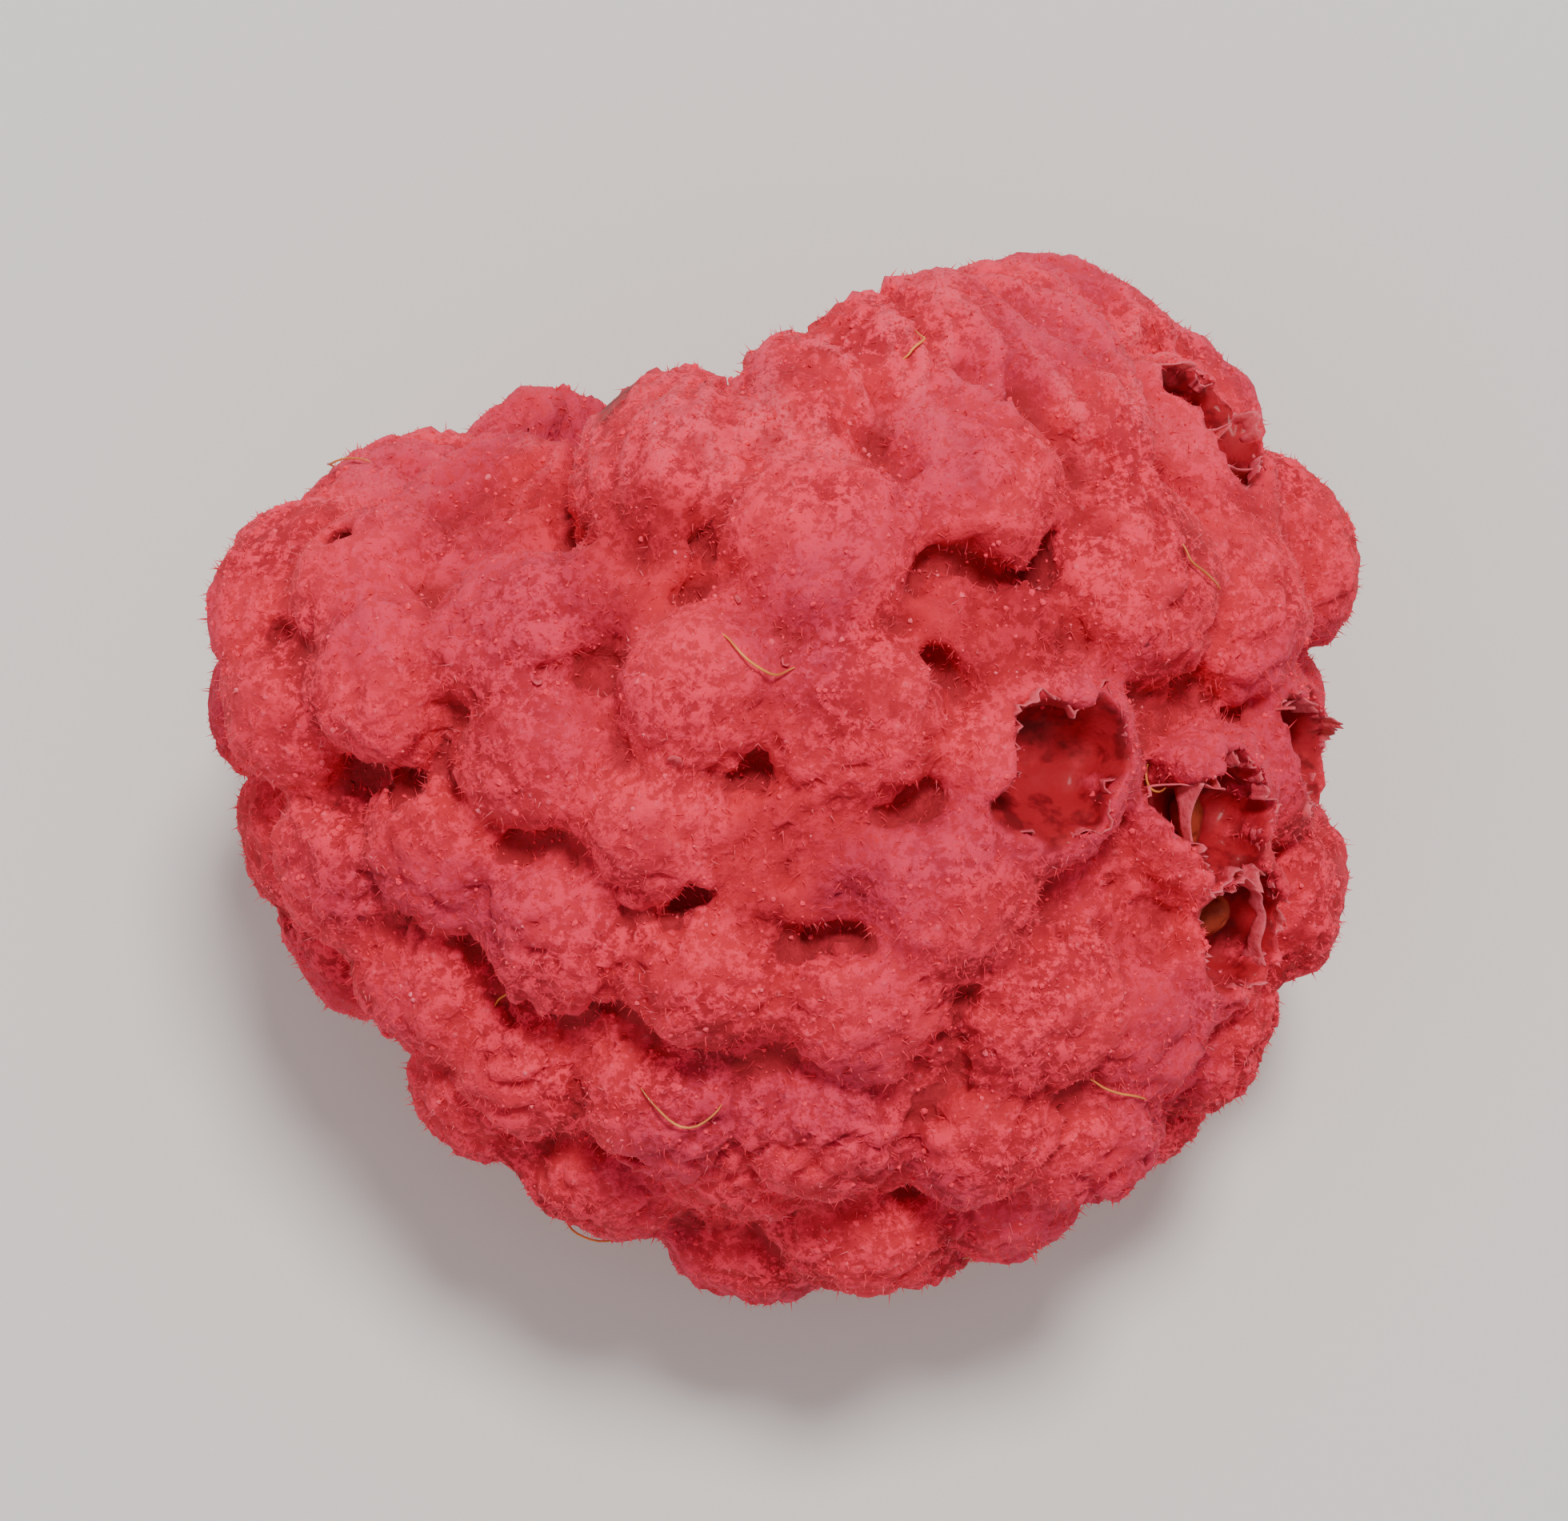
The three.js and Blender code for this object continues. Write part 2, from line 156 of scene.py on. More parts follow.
# Styles that the photo shows: a spot, the direction in the picture in degrees, and a length.
SEEN_STYLES = [
    ((-1.4, -4.9), 175, 1.5), ((6.15, 0.05), 105, 0.8), ((-3.1, -7.7), 150, 1.7),
    ((-4.3, -6.9), 135, 1.2), ((-6.8, -5.2), 120, 0.9), ((2.2, 6.9), 60, 0.9),
]
STYLE_RADIUS = 0.021
STYLE_STEPS = 14

# Torn skin, and half the size of a pip. Crumbs and hairs differ in size by up to their spread.
SKIN_THICKNESS = 0.022
FLAKES = 30
PIP_LENGTH = 0.5
PIP_WIDTH = 0.3
PIP_THICKNESS = 0.24
CRUMB_LEAST = 0.016
CRUMB_SPREAD = 0.03
HAIR_LEAST = 0.06
HAIR_SPREAD = 0.17

# The finer shape: how far the bed is sunk between drupelets here, below the model's, and how far
# it is raised where the drupelets of the worn front have dried into one another.
BED_DROP = 0.2
WORN_RISE = 0.28
# A drupelet's half width, as a share of the mean distance to that many neighbours.
SWELLING = 0.55
NEIGHBOURS = 5
# Sizes of the dry surface's lumps, wrinkles and two grains, and of the patches that are rougher,
# merged with their neighbours, or bluish.
LUMP_SIZE = 1.3
WRINKLE_SIZE = 0.75
GRAIN_SIZE = 0.33
FINE_GRAIN_SIZE = 0.19
ROUGH_SIZE = 2.3
MERGED_SIZE = 2.7
MAUVE_SIZE = 3.2
# How deep a crevice is where its painted shade is darkest, and where the rim's fibres start and are
# full, towards the mouth.
CREVICE_DEPTH = 0.3
FIBRES_START = 2.6
FIBRES_FULL = 4.4
# A dark window in the rim: half its width and half its length.
WINDOW_WIDTH = 0.52
WINDOW_LENGTH = 0.9
# The shares of the bed's ball and of the hollow's that close them across the mouth.
BED_LID = 0.11
HOLLOW_LID = 0.06

BED_RADIUS = WIDTH / 2 - DOME_HEIGHT
BED_TIP = TIP_LENGTH - DOME_HEIGHT
BED_RIM = RIM_LENGTH - DOME_HEIGHT
LIE = Matrix.Rotation(math.radians(TURN), 4, "Z") @ Matrix.Rotation(math.radians(LEAN), 4, "X")

# Each lamp's name, place and size in metres, and its share of the key light's power.
LAMPS = [
    ("key", (0.04, 0.11, 0.33), 0.08, 1.0),
    ("fill", (-0.22, -0.16, 0.22), 0.30, 0.12),
]

# The finished flesh, for the pieces that lie on it: its object, its surface for rays, and the
# shift that brought it to its place.
SHARED = {}


def clamp(value, low=0.0, high=1.0):
    return min(max(value, low), high)


def smooth_step(low, high, value):
    share = clamp((value - low) / (high - low))
    return share * share * (3 - 2 * share)


def smooth_steps(low, high, values):
    share = np.clip((values - low) / (high - low), 0, 1)
    return share * share * (3 - 2 * share)


def mix(low, high, share):
    return low + (high - low) * share


def seeded_draws(seed):
    """The same draws at every run, each from 0 to 1, and the same as the model's."""
    state = seed
    while True:
        state = (state * 16807) % 2147483647
        yield state / 2147483647


def outline(turn):
    """The bed's outline in a half plane through the axis, by degrees from the tip."""
    t = math.radians(turn)
    past = turn > 90
    share = abs(math.sin(t)) ** (1 if past else TIP_TAPER)
    radius = BED_RADIUS * math.copysign(1, turn) * share if turn else 0.0
    return radius, -math.cos(t) * (BED_RIM if past else BED_TIP)


def outline_distances():
    distances = [0.0]
    for turn in range(1, 181):
        (r0, y0), (r1, y1) = outline(turn - 1), outline(turn)
        distances.append(distances[-1] + math.hypot(r1 - r0, y1 - y0))
    return distances


DISTANCES = outline_distances()


def turn_at(along):
    turn = max(1, next(i for i, d in enumerate(DISTANCES) if d >= along))
    return turn - (DISTANCES[turn] - along) / (DISTANCES[turn] - DISTANCES[turn - 1])


def degrees_from(place, around):
    return ((around - place + 540) % 360) - 180


def lumps(turn, around):
    """How the dry berry departs from an even shape, as a share of its radius."""
    a, t = math.radians(around), math.radians(turn)
    to_shoulder = math.hypot(degrees_from(SHOULDER["around"], around), turn - SHOULDER["turn"])
    waves = (
        0.022 * math.sin(2 * a + 1.9 * t)
        + 0.02 * math.sin(3 * a - 2.3 * t + 0.7)
        + 0.012 * math.sin(5 * a + 3.1 * t + 2)
    )
    swell = SHOULDER["swell"] * math.exp(-((to_shoulder / SHOULDER["width"]) ** 2))
    return 1 + swell + math.sin(t) * waves


def bed_point(turn, around):
    """A point of the bed that the drupelets stand on, before the berry is tipped over."""
    a = math.radians(around)
    radius, axial = outline(turn)
    flatness = mix(UNDERSIDE_FLATNESS, TOP_FLATNESS, (1 + math.sin(a)) / 2)
    at_rim = smooth_step(80, LAST_ROW_TURN, turn)
    from_dent = degrees_from(DENT["around"], around) / DENT["width"]
    dent = at_rim * math.exp(-from_dent * from_dent)
    reach = radius * lumps(turn, around) * (1 - DENT["inward"] * dent)
    return Vector((
        reach * math.cos(a) + TIP_SHIFT * (min(axial, 0) / BED_TIP) ** 2,
        axial + at_rim * RIM_SLANT * math.cos(a) - DENT["depth"] * dent,
        reach * flatness * math.sin(a),
    ))


def bed_normal(turn, around):
    if turn < 1:
        return Vector((0, -1, 0))
    across = bed_point(turn, around + 1) - bed_point(turn, around - 1)
    down = bed_point(turn + 1, around) - bed_point(turn - 1, around)
    return down.cross(across).normalized()


def missed_by(x, up, turn, around):
    """How far a place on the bed is from a spot of the photo, as seen from there."""
    top = LIE @ (bed_point(turn, around) + DOME_HEIGHT * bed_normal(turn, around))
    e = math.radians(VIEW_ELEVATION)
    seen_up = top.y * math.sin(e) + top.z * math.cos(e)
    return math.hypot(top.x - VIEW_MIDDLE[0] - x, seen_up - VIEW_MIDDLE[1] - up)


def place_seen_at(x, up):
    """The place on the upper side that the photo shows at a spot, closed in on in smaller steps."""
    turn, around = 75.0, 90.0
    miss = missed_by(x, up, turn, around)
    step = 32.0
    while step > 0.2:
        moved = True
        while moved:
            moved = False
            for d_turn, d_around in ((step, 0), (-step, 0), (0, step), (0, -step)):
                next_turn = clamp(turn + d_turn, 3, LAST_ROW_TURN)
                next_around = clamp(around + d_around, 0, 180)
                next_miss = missed_by(x, up, next_turn, next_around)
                if next_miss < miss - 1e-6:
                    turn, around, miss, moved = next_turn, next_around, next_miss, True
        step /= 2
    return turn, around


class Drupelet:
    """One drupelet: its place on the bed, its size and its state."""

    def __init__(self, turn, around, size, sink, rim, state):
        self.turn, self.around = turn, around
        self.size, self.sink, self.rim, self.state = size, sink, rim, state
        self.at = bed_point(turn, around)
        self.top = DOME_HEIGHT * size
        self.pit_radius = PIT_WIDTH / 2 * size

    def dome_height(self, reach):
        """How high the dome stands over the bed, at a distance from its middle."""
        share = min(1, reach / self.half)
        return self.top * (1 - share**FULLNESS) ** (1 / FULLNESS)

    def place(self):
        """Stands a shape made round +Y on the bed, with X along the row and Z towards the rim."""
        out = bed_normal(self.turn, self.around)
        towards_rim = bed_point(self.turn + 1, self.around) - bed_point(self.turn - 1, self.around)
        along_row = out.cross(towards_rim).normalized()
        forward = along_row.cross(out)
        turned = Matrix((along_row, out, forward)).transposed().to_4x4()
        return LIE @ Matrix.Translation(self.at - out * self.sink) @ turned

    def final_place(self):
        """The same, once the flesh has been brought to its place."""
        return Matrix.Translation(SHARED["shift"]) @ self.place()


def seen_drupelets():
    """The drupelets of the side that the photo shows."""
    found = []
    for state, spots in (("whole", WHOLE), ("collapsed", COLLAPSED), ("broken", BROKEN)):
        for x, up, size in spots:
            turn, around = place_seen_at(x, up)
            rim = smooth_step(LAST_ROW_TURN - 35, LAST_ROW_TURN - 5, turn)
            found.append(Drupelet(turn, around, size, 0, rim, state))
    return found


def is_near(spots, along, around):
    """Whether a place is within half a pitch of one of those spots."""
    radius = outline(turn_at(along))[0]
    return any(
        math.hypot(math.radians(degrees_from(spot[0], around)) * radius, along - spot[1]) < PITCH / 2
        for spot in spots
    )


def drupelets_in_rows():
    """Row by row from the tip, each drupelet with its own size, place and state."""
    draw = seeded_draws(SEED)
    placed = []
    length = DISTANCES[LAST_ROW_TURN]
    rows = math.floor(length / ROW_PITCH + 0.5)
    for row in range(rows + 1):
        radius = outline(turn_at(row * length / rows))[0]
        girth = math.pi * radius * (1 + (TOP_FLATNESS + UNDERSIDE_FLATNESS) / 2)
        count = max(1, math.floor(girth / PITCH + 0.5))
        rim = smooth_step(rows - 2, rows, row)
        loose = PLACE_SPREAD if row else 0
        for number in range(count):
            t = (number + (row % 2) / 2 + loose * (next(draw) - 0.5)) / count * 2 * math.pi
            shift = 0 if row == rows else loose * (next(draw) - 0.5)
            along = (row + shift) * length / rows
            size = 1 + SIZE_SPREAD * (next(draw) - 0.5)
            sink = SINK_SPREAD * (next(draw) - 0.5)
            around = math.degrees(t + 0.06 * math.sin(2 * t))
            state = "whole"
            if is_near(COLLAPSED_BELOW, along, around):
                state = "collapsed"
            if is_near(BROKEN_BELOW, along, around):
                state = "broken"
            placed.append(Drupelet(turn_at(along), around, size, sink, rim, state))
    return placed


def place_drupelets():
    """Every drupelet: those in rows, less the ones that the seen ones take the room of."""
    seen = seen_drupelets()

    def has_room(drupelet):
        room = mix(CROWDING, RIM_CROWDING, drupelet.rim) * PITCH
        return all((other.at - drupelet.at).length > room for other in seen)

    return seen + [drupelet for drupelet in drupelets_in_rows() if has_room(drupelet)]


def swell_to_neighbours(drupelets):
    """Sets each drupelet's half width from how far off its nearest neighbours stand."""
    for drupelet in drupelets:
        away = sorted((other.at - drupelet.at).length for other in drupelets)[1:NEIGHBOURS + 1]
        even = sum(away) / NEIGHBOURS * SWELLING
        drupelet.half = clamp(even * math.sqrt(drupelet.size), 0.7 * PITCH / 2, DRUPELET_WIDTH / 2)
    return drupelets


DRUPELETS = swell_to_neighbours(place_drupelets())
SEEN_COUNT = len(WHOLE) + len(COLLAPSED) + len(BROKEN)


def linked(name, data):
    """A new object in the scene."""
    made = bpy.data.objects.new(name, data)
    bpy.context.scene.collection.objects.link(made)
    return made


def object_from(bm, name):
    mesh = bpy.data.meshes.new(name)
    bm.to_mesh(mesh)
    bm.free()
    return linked(name, mesh)


def add_ball(bm, subdivisions=4, radius=1):
    return bmesh.ops.create_icosphere(bm, subdivisions=subdivisions, radius=radius)["verts"]


def settle(piece):
    """Applies a piece's modifiers."""
    graph = bpy.context.evaluated_depsgraph_get()
    finished = bpy.data.meshes.new_from_object(piece.evaluated_get(graph))
    old = piece.data
    piece.modifiers.clear()
    piece.data = finished
    bpy.data.meshes.remove(old)
    finished.name = piece.name
    return piece


def modified(piece, kind, **settings):
    modifier = piece.modifiers.new(kind.title(), kind)
    for name, value in settings.items():
        setattr(modifier, name, value)


def remove(piece):
    mesh = piece.data
    bpy.data.objects.remove(piece)
    bpy.data.meshes.remove(mesh)


def vectors_of(items, name):
    flat = np.empty(len(items) * 3, dtype=np.float32)
    items.foreach_get(name, flat)
    return flat.reshape(-1, 3).astype(np.float64)


def corners_of(mesh):
    return vectors_of(mesh.vertices, "co")


def normals_of(mesh):
    return vectors_of(mesh.vertex_normals, "vector")


def set_corners(mesh, corners):
    mesh.vertices.foreach_set("co", corners.astype(np.float32).ravel())
    mesh.update()


def set_attribute(mesh, name, values):
    layer = mesh.attributes.new(name, "FLOAT", "POINT")
    layer.data.foreach_set("value", np.asarray(values, dtype=np.float32))


def attribute_of(mesh, name):
    values = np.empty(len(mesh.vertices), dtype=np.float32)
    mesh.attributes[name].data.foreach_get("value", values)
    return values


def moved_by(matrix, corners):
    moves = np.array(matrix)
    return corners @ moves[:3, :3].T + moves[:3, 3]


def random_vector(draw, spread):
    return Vector([draw.uniform(-spread, spread) for _ in range(3)])


def finish_piece(piece, material, smooth=True):
    """Brings a modelled piece to metres, with its finish, on the berry."""
    piece.data.transform(Matrix.Scale(MM, 4))
    piece.data.materials.clear()
    piece.data.materials.append(material)
    piece.data.polygons.foreach_set("use_smooth", [smooth] * len(piece.data.polygons))
    piece.data.update()
    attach(piece, "root")


class Value:
    """A shader value that plain arithmetic works on."""

    def __init__(self, finish, socket):
        self.finish, self.socket = finish, socket

    def maths(self, operation, *values):
        settings = {"operation": operation}
        return self.finish.add("ShaderNodeMath", settings, dict(enumerate(values)))

    def __add__(self, other):
        return self.maths("ADD", self, other)

    __radd__ = __add__

    def __sub__(self, other):
        return self.maths("SUBTRACT", self, other)

    def __rsub__(self, other):
        return self.maths("SUBTRACT", other, self)

    def __mul__(self, other):
        return self.maths("MULTIPLY", self, other)

    __rmul__ = __mul__


class Finish:
    """A material, and the nodes that make its colour, gloss and grain."""

    def __init__(self, name):
        self.material = bpy.data.materials.new(name)
        self.material.use_nodes = True
        self.tree = self.material.node_tree
        self.shader = self.tree.nodes["Principled BSDF"]
        self.place = self.add("ShaderNodeTexCoord", out="Object")

    def add(self, kind, settings=None, sockets=None, out=0):
        node = self.tree.nodes.new(kind)
        for name, value in (settings or {}).items():
            if name == "stops":
                self.set_stops(node.color_ramp, value)
            else:
                setattr(node, name, value)
        for name, value in (sockets or {}).items():
            self.feed(node.inputs[name], value)
        return Value(self, node.outputs[out])

    def feed(self, socket, value):
        if isinstance(value, Value):
            self.tree.links.new(value.socket, socket)
        else:
            socket.default_value = value

    @staticmethod
    def set_stops(ramp, stops):
        while len(ramp.elements) < len(stops):
            ramp.elements.new(1)
        for element, (position, colour) in zip(ramp.elements, stops):
            element.position = position
            element.color = (*colour, 1)

    def set(self, **sockets):
        """Sets the surface's own sockets, by their names with underscores for spaces."""
        for name, value in sockets.items():
            self.feed(self.shader.inputs[name.replace("_", " ")], value)

    def attribute(self, name):
        return self.add("ShaderNodeAttribute", {"attribute_name": name}, out="Fac")

    def noise(self, size, detail=3.0, roughness=0.6):
        """Noise with features of about that many millimetres."""
        sockets = {"Vector": self.place, "Scale": 1 / (size * MM), "Detail": detail}
        sockets["Roughness"] = roughness
        return self.add("ShaderNodeTexNoise", None, sockets)

    def cells(self, size):
        """The distance to the middle of the nearest of cells of about that many millimetres."""
        sockets = {"Vector": self.place, "Scale": 1 / (size * MM)}
        return self.add("ShaderNodeTexVoronoi", None, sockets, "Distance")

    def band(self, value, low, high):
        """0 below low and 1 above high, smoothly between."""
        sockets = {"Value": value, "From Min": low, "From Max": high}
        return self.add("ShaderNodeMapRange", {"interpolation_type": "SMOOTHSTEP"}, sockets)

    def blend(self, factor, low, high):
        low, high = (c if isinstance(c, Value) else (*c, 1) for c in (low, high))
        sockets = {0: factor, 6: low, 7: high}
        return self.add("ShaderNodeMix", {"data_type": "RGBA"}, sockets, 2)

    def bump(self, height, strength, distance):
        sockets = {"Height": height, "Strength": strength, "Distance": distance * MM}
        return self.add("ShaderNodeBump", None, sockets)


def flesh_finish(look):
    """Dry flesh: mottled pink dust over red, with painted shade between drupelets and in the hollow and
    painted highlights on their crowns, glossy where they broke.
    """
    f = Finish("dry_raspberry_flesh")
    masks = ("crevice", "pit", "hollow", "tone", "bare", "grain", "raised", "fibre", "mauve")
    crevice, pit, hollow, tone, bare, relief, raised, fibre, mauve = map(f.attribute, masks)
    grain = f.noise(0.16, 3, 0.7)
    fine = f.noise(0.06, 2, 0.6)
    specks = 1 - f.band(f.cells(0.22), 0.08, 0.34)
    # Bare flesh, and the dust over it, thin in places and gone where the skin is bare.
    patches = f.band(f.noise(1.6, 3), 0.38, 0.66)
    red = f.blend(patches, look.red, look.deep_red)
    thin = f.band(f.noise(0.9, 3), 0.5, 0.68)
    clumps = 0.4 * (f.noise(0.34, 3, 0.65) - 0.5)
    fleck = grain + 0.35 * (fine - 0.5) + clumps
    dust = f.band(fleck + 0.12 * (tone - 0.5) + 0.2 * (relief - 0.5), 0.4, 0.58)
    cover = dust * (1 - 0.75 * bare) * (1 - 0.5 * hollow) * (1 - 0.75 * thin)
    colour = f.blend(cover, red, look.dust)
    colour = f.blend(specks * f.band(grain, 0.46, 0.6) * 0.4 * (1 - bare), colour, look.pale)
    # Painted highlights on the crowns of the drupelets and high on the berry, over a tone that differs
    # from drupelet to drupelet; paler along the fibres of the rim.
    dusty = 1 - 0.8 * bare
    colour = f.blend(0.42 * tone * dusty, colour, look.dome)
    crown = raised * f.band(grain + 0.4 * (f.noise(0.7, 2) - 0.5), 0.38, 0.62)
    colour = f.blend(0.4 * crown * dusty, colour, look.pale)
    colour = f.blend(0.4 * fibre * f.band(fine, 0.3, 0.6), colour, look.pale)
    # Painted shade between drupelets, in the clefts and in the hollow; bluish painted shade low on the
    # berry, over bluish patches at random.
    shade = f.band(crevice + 0.2 * (0.5 - relief), 0.08, 0.6)
    colour = f.blend(0.8 * shade, colour, look.crevice)
    colour = f.blend(0.55 * hollow, colour, look.hollow)
    colour = f.blend(mauve * f.band(grain, 0.3, 0.6) * (1 - shade), colour, look.mauve)
    # The bare, jelly-like inside of the broken drupelets.
    jelly = f.blend(f.band(f.noise(0.55, 3), 0.46, 0.62), look.pit, look.pit_dark)
    streaks = f.band(f.noise(0.8, 4, 0.65), 0.54, 0.68)
    jelly = f.blend(0.5 * streaks, jelly, look.red)
    colour = f.blend(pit, colour, jelly)
    height = grain + 0.5 * fine + 0.5 * specks + 0.8 * f.noise(0.4, 2)
    f.set(
        Base_Color=colour,
        Roughness=0.88 - 0.25 * pit * f.band(f.noise(0.35, 2), 0.3, 0.55),
        Coat_Weight=0.05 * pit,
        Coat_Roughness=0.15,
        Normal=f.bump(height * (1 - 0.7 * pit), 0.55, 0.06),
        Sheen_Weight=0.05,
        Sheen_Roughness=0.5,
        Sheen_Tint=(1.0, 0.45, 0.5, 1),
        Subsurface_Weight=0.12,
        Subsurface_Radius=(1.0, 0.25, 0.2),
        Subsurface_Scale=0.35 * MM,
        Specular_IOR_Level=0.15,
    )
    return f.material


def dust_finish(look):
    """Loose dust and fuzz of dried flesh."""
    f = Finish("raspberry_dust")
    share = f.band(f.noise(0.5, 3), 0.52, 0.72)
    f.set(
        Base_Color=f.blend(share, look.dust, look.pale),
        Roughness=0.9 - 0.1 * share,
        Sheen_Weight=0.08,
        Sheen_Roughness=0.5,
        Specular_IOR_Level=0.2,
    )
    return f.material


def skin_finish(look):
    """Torn drupelet skin: thin, dusty and crumbled, paler along its edge."""
    f = Finish("torn_raspberry_skin")
    edge = f.attribute("edge")
    dust = f.band(f.noise(0.14, 3, 0.7), 0.42, 0.62)
    blotches = f.band(f.noise(0.35, 3), 0.35, 0.65)
    colour = f.blend(0.55 * edge + 0.3 * dust, look.skin, look.skin_edge)
    colour = f.blend(0.4 * blotches, colour, look.deep_red)
    f.set(
        Base_Color=colour,
        Roughness=0.82 - 0.2 * blotches,
        Coat_Weight=0.12 * (1 - dust),
        Coat_Roughness=0.3,
        Normal=f.bump(f.noise(0.1, 3), 0.6, 0.05),
        Subsurface_Weight=0.2,
        Subsurface_Radius=(1.0, 0.3, 0.25),
        Subsurface_Scale=0.4 * MM,
        Specular_IOR_Level=0.3,
    )
    return f.material


def thread_finish(look):
    """Dried styles: golden, a little glossy, browner in places."""
    f = Finish("dried_style")
    share = f.band(f.noise(0.7, 2), 0.35, 0.65)
    f.set(
        Base_Color=f.blend(share, look.thread, look.thread_dark),
        Roughness=0.42 + 0.15 * share,
        Coat_Weight=0.2,
        Specular_IOR_Level=0.5,
    )
    return f.material


def pip_finish(look):
    """Pips: hard, netted and amber, stained by the juice."""
    f = Finish("raspberry_pip")
    stain = f.band(f.noise(0.6, 3), 0.4, 0.62)
    net = f.band(f.cells(0.24), 0.05, 0.5)
    f.set(
        Base_Color=f.blend(0.6 * stain + 0.35 * net, look.pip, look.pip_stain),
        Roughness=0.55 + 0.2 * net,
        Normal=f.bump(net, 0.8, 0.05),
        Specular_IOR_Level=0.35,
    )
    return f.material


def berry_settings():
    return bpy.context.scene.raspberry_berry


def look_settings():
    return bpy.context.scene.raspberry_look


def shape_drupelet(co, drupelet, offset):
    """Turns a point of a unit ball into one of a drupelet: a full dome on a narrowing root."""
    half = drupelet.half * berry_settings().fineness
    reach = math.hypot(co.x, co.z)
    wave = 1 + 0.1 * noise.noise(co * 1.2 + offset) + 0.05 * noise.noise(co * 2.9 - offset)
    if co.y > 0:
        share = (reach**FULLNESS + co.y**FULLNESS) ** (-1 / FULLNESS)
        up = co.y * share * drupelet.top
        if drupelet.state == "collapsed":
            sunk = math.exp(-((reach / 0.62) ** 2))
            up *= 1 - (1 - SUNKEN_HEIGHT) * 0.7 - 0.5 * sunk
            up += 0.07 * noise.noise(co * 5 + offset)
    else:
        share = 1 + 0.3 * co.y
        up = co.y * ROOT_DEPTH
    side = half * share * wave
    narrow = mix(1, RIM_NARROWING, drupelet.rim)
    stretch = mix(1, RIM_STRETCH, drupelet.rim)
    return Vector((co.x * side * narrow, up * wave, co.z * side * stretch))


def drupelet_offset(number):
    return Vector((number * 7.31, number * 3.17, number * 5.23))


def add_drupelets(bm):
    for number, drupelet in enumerate(DRUPELETS):
        place, offset = drupelet.place(), drupelet_offset(number)
        for vert in add_ball(bm):
            vert.co = place @ shape_drupelet(vert.co, drupelet, offset)


def add_bed(bm):
    """The dried pulp that the drupelets stand on, closed across the mouth."""
    rim_centre = outline(LAST_ROW_TURN)[1]
    ball = bmesh.ops.create_uvsphere(bm, u_segments=64, v_segments=48, radius=1)["verts"]
    for vert in ball:
        way = math.degrees(math.acos(clamp(vert.co.z, -1, 1))) / 180
        around = math.degrees(math.atan2(vert.co.y, vert.co.x))
        in_mouth = smooth_step(1 - BED_LID, 1, way)
        turn = LAST_ROW_TURN * min(way / (1 - BED_LID), 1)
        above = smooth_step(-0.5, 0.2, math.sin(math.radians(around)))
        drop = mix(BED_DROP, -WORN_RISE, smooth_step(78, 45, turn) * above)
        point = bed_point(turn, around) - bed_normal(turn, around) * drop
        point.x *= 1 - in_mouth
        point.z *= 1 - in_mouth
        point.y = mix(point.y, rim_centre, in_mouth)
        vert.co = LIE @ point


HOLLOW_MOUTH = outline(LAST_ROW_TURN)[1] + 3 * DOME_HEIGHT
HOLLOW_LENGTH = HOLLOW_DEPTH + 2 * DOME_HEIGHT


def hollow_share(deep):
    """How wide the hollow is at a share of its depth, as a share of its mouth."""
    return (1 - HOLLOW_TAPER * deep) * math.sqrt(max(0, 1 - deep**HOLLOW_BLUNTNESS))


def hollow_point(deep, around, share, inset=0.0):
    """A point of the hollow's wall, inset from the even wall, or at a share of the way to it."""
    return Vector((
        share * (MOUTH_WIDTH / 2 * hollow_share(deep) - inset) * math.cos(around),
        HOLLOW_MOUTH - HOLLOW_LENGTH * deep,
        share * (MOUTH_HEIGHT / 2 * hollow_share(deep) - inset) * math.sin(around),
    ))


def add_hollow(bm):
    """The hollow, as a cutter, with the inner ends of the drupelets standing into it."""
    relief = berry_settings().hollow_relief / MM
    ball = bmesh.ops.create_uvsphere(bm, u_segments=144, v_segments=96, radius=1)["verts"]
    for vert in ball:
        way = math.degrees(math.acos(clamp(vert.co.z, -1, 1))) / 180
        a = math.atan2(vert.co.y, vert.co.x)
        deep = clamp((way - HOLLOW_LID) / (1 - HOLLOW_LID))
        row = HOLLOW_ROWS * math.pi * deep
        shift = math.pi * (math.floor(HOLLOW_ROWS * deep + 0.5) % 2) / 2
        cells = abs(math.cos(HOLLOW_CELLS / 2 * a + shift)) * abs(math.cos(row))
        cells = cells**0.7 + 0.35 * noise.noise(Vector((3 * math.cos(a), 3 * math.sin(a), 9 * deep)))
        inset = relief * cells * smooth_step(0.1, 0.3, deep) * min(1, hollow_share(deep) * 1.6)
        inset += 0.4 * noise.noise(Vector((2.4 * math.cos(a), 2.4 * math.sin(a), 4 * deep)))
        vert.co = LIE @ hollow_point(deep, a, min(1, way / HOLLOW_LID), inset)


def pit_reach(angle, number):
    """A pit's ragged outline, as a share of its radius."""
    spot = Vector((math.cos(angle), math.sin(angle), number * 2.7))
    lobes = 0.55 * noise.noise(spot * 1.7)
    return 1.02 + lobes + 0.3 * noise.noise(spot * 4) + 0.12 * noise.noise(spot * 12)


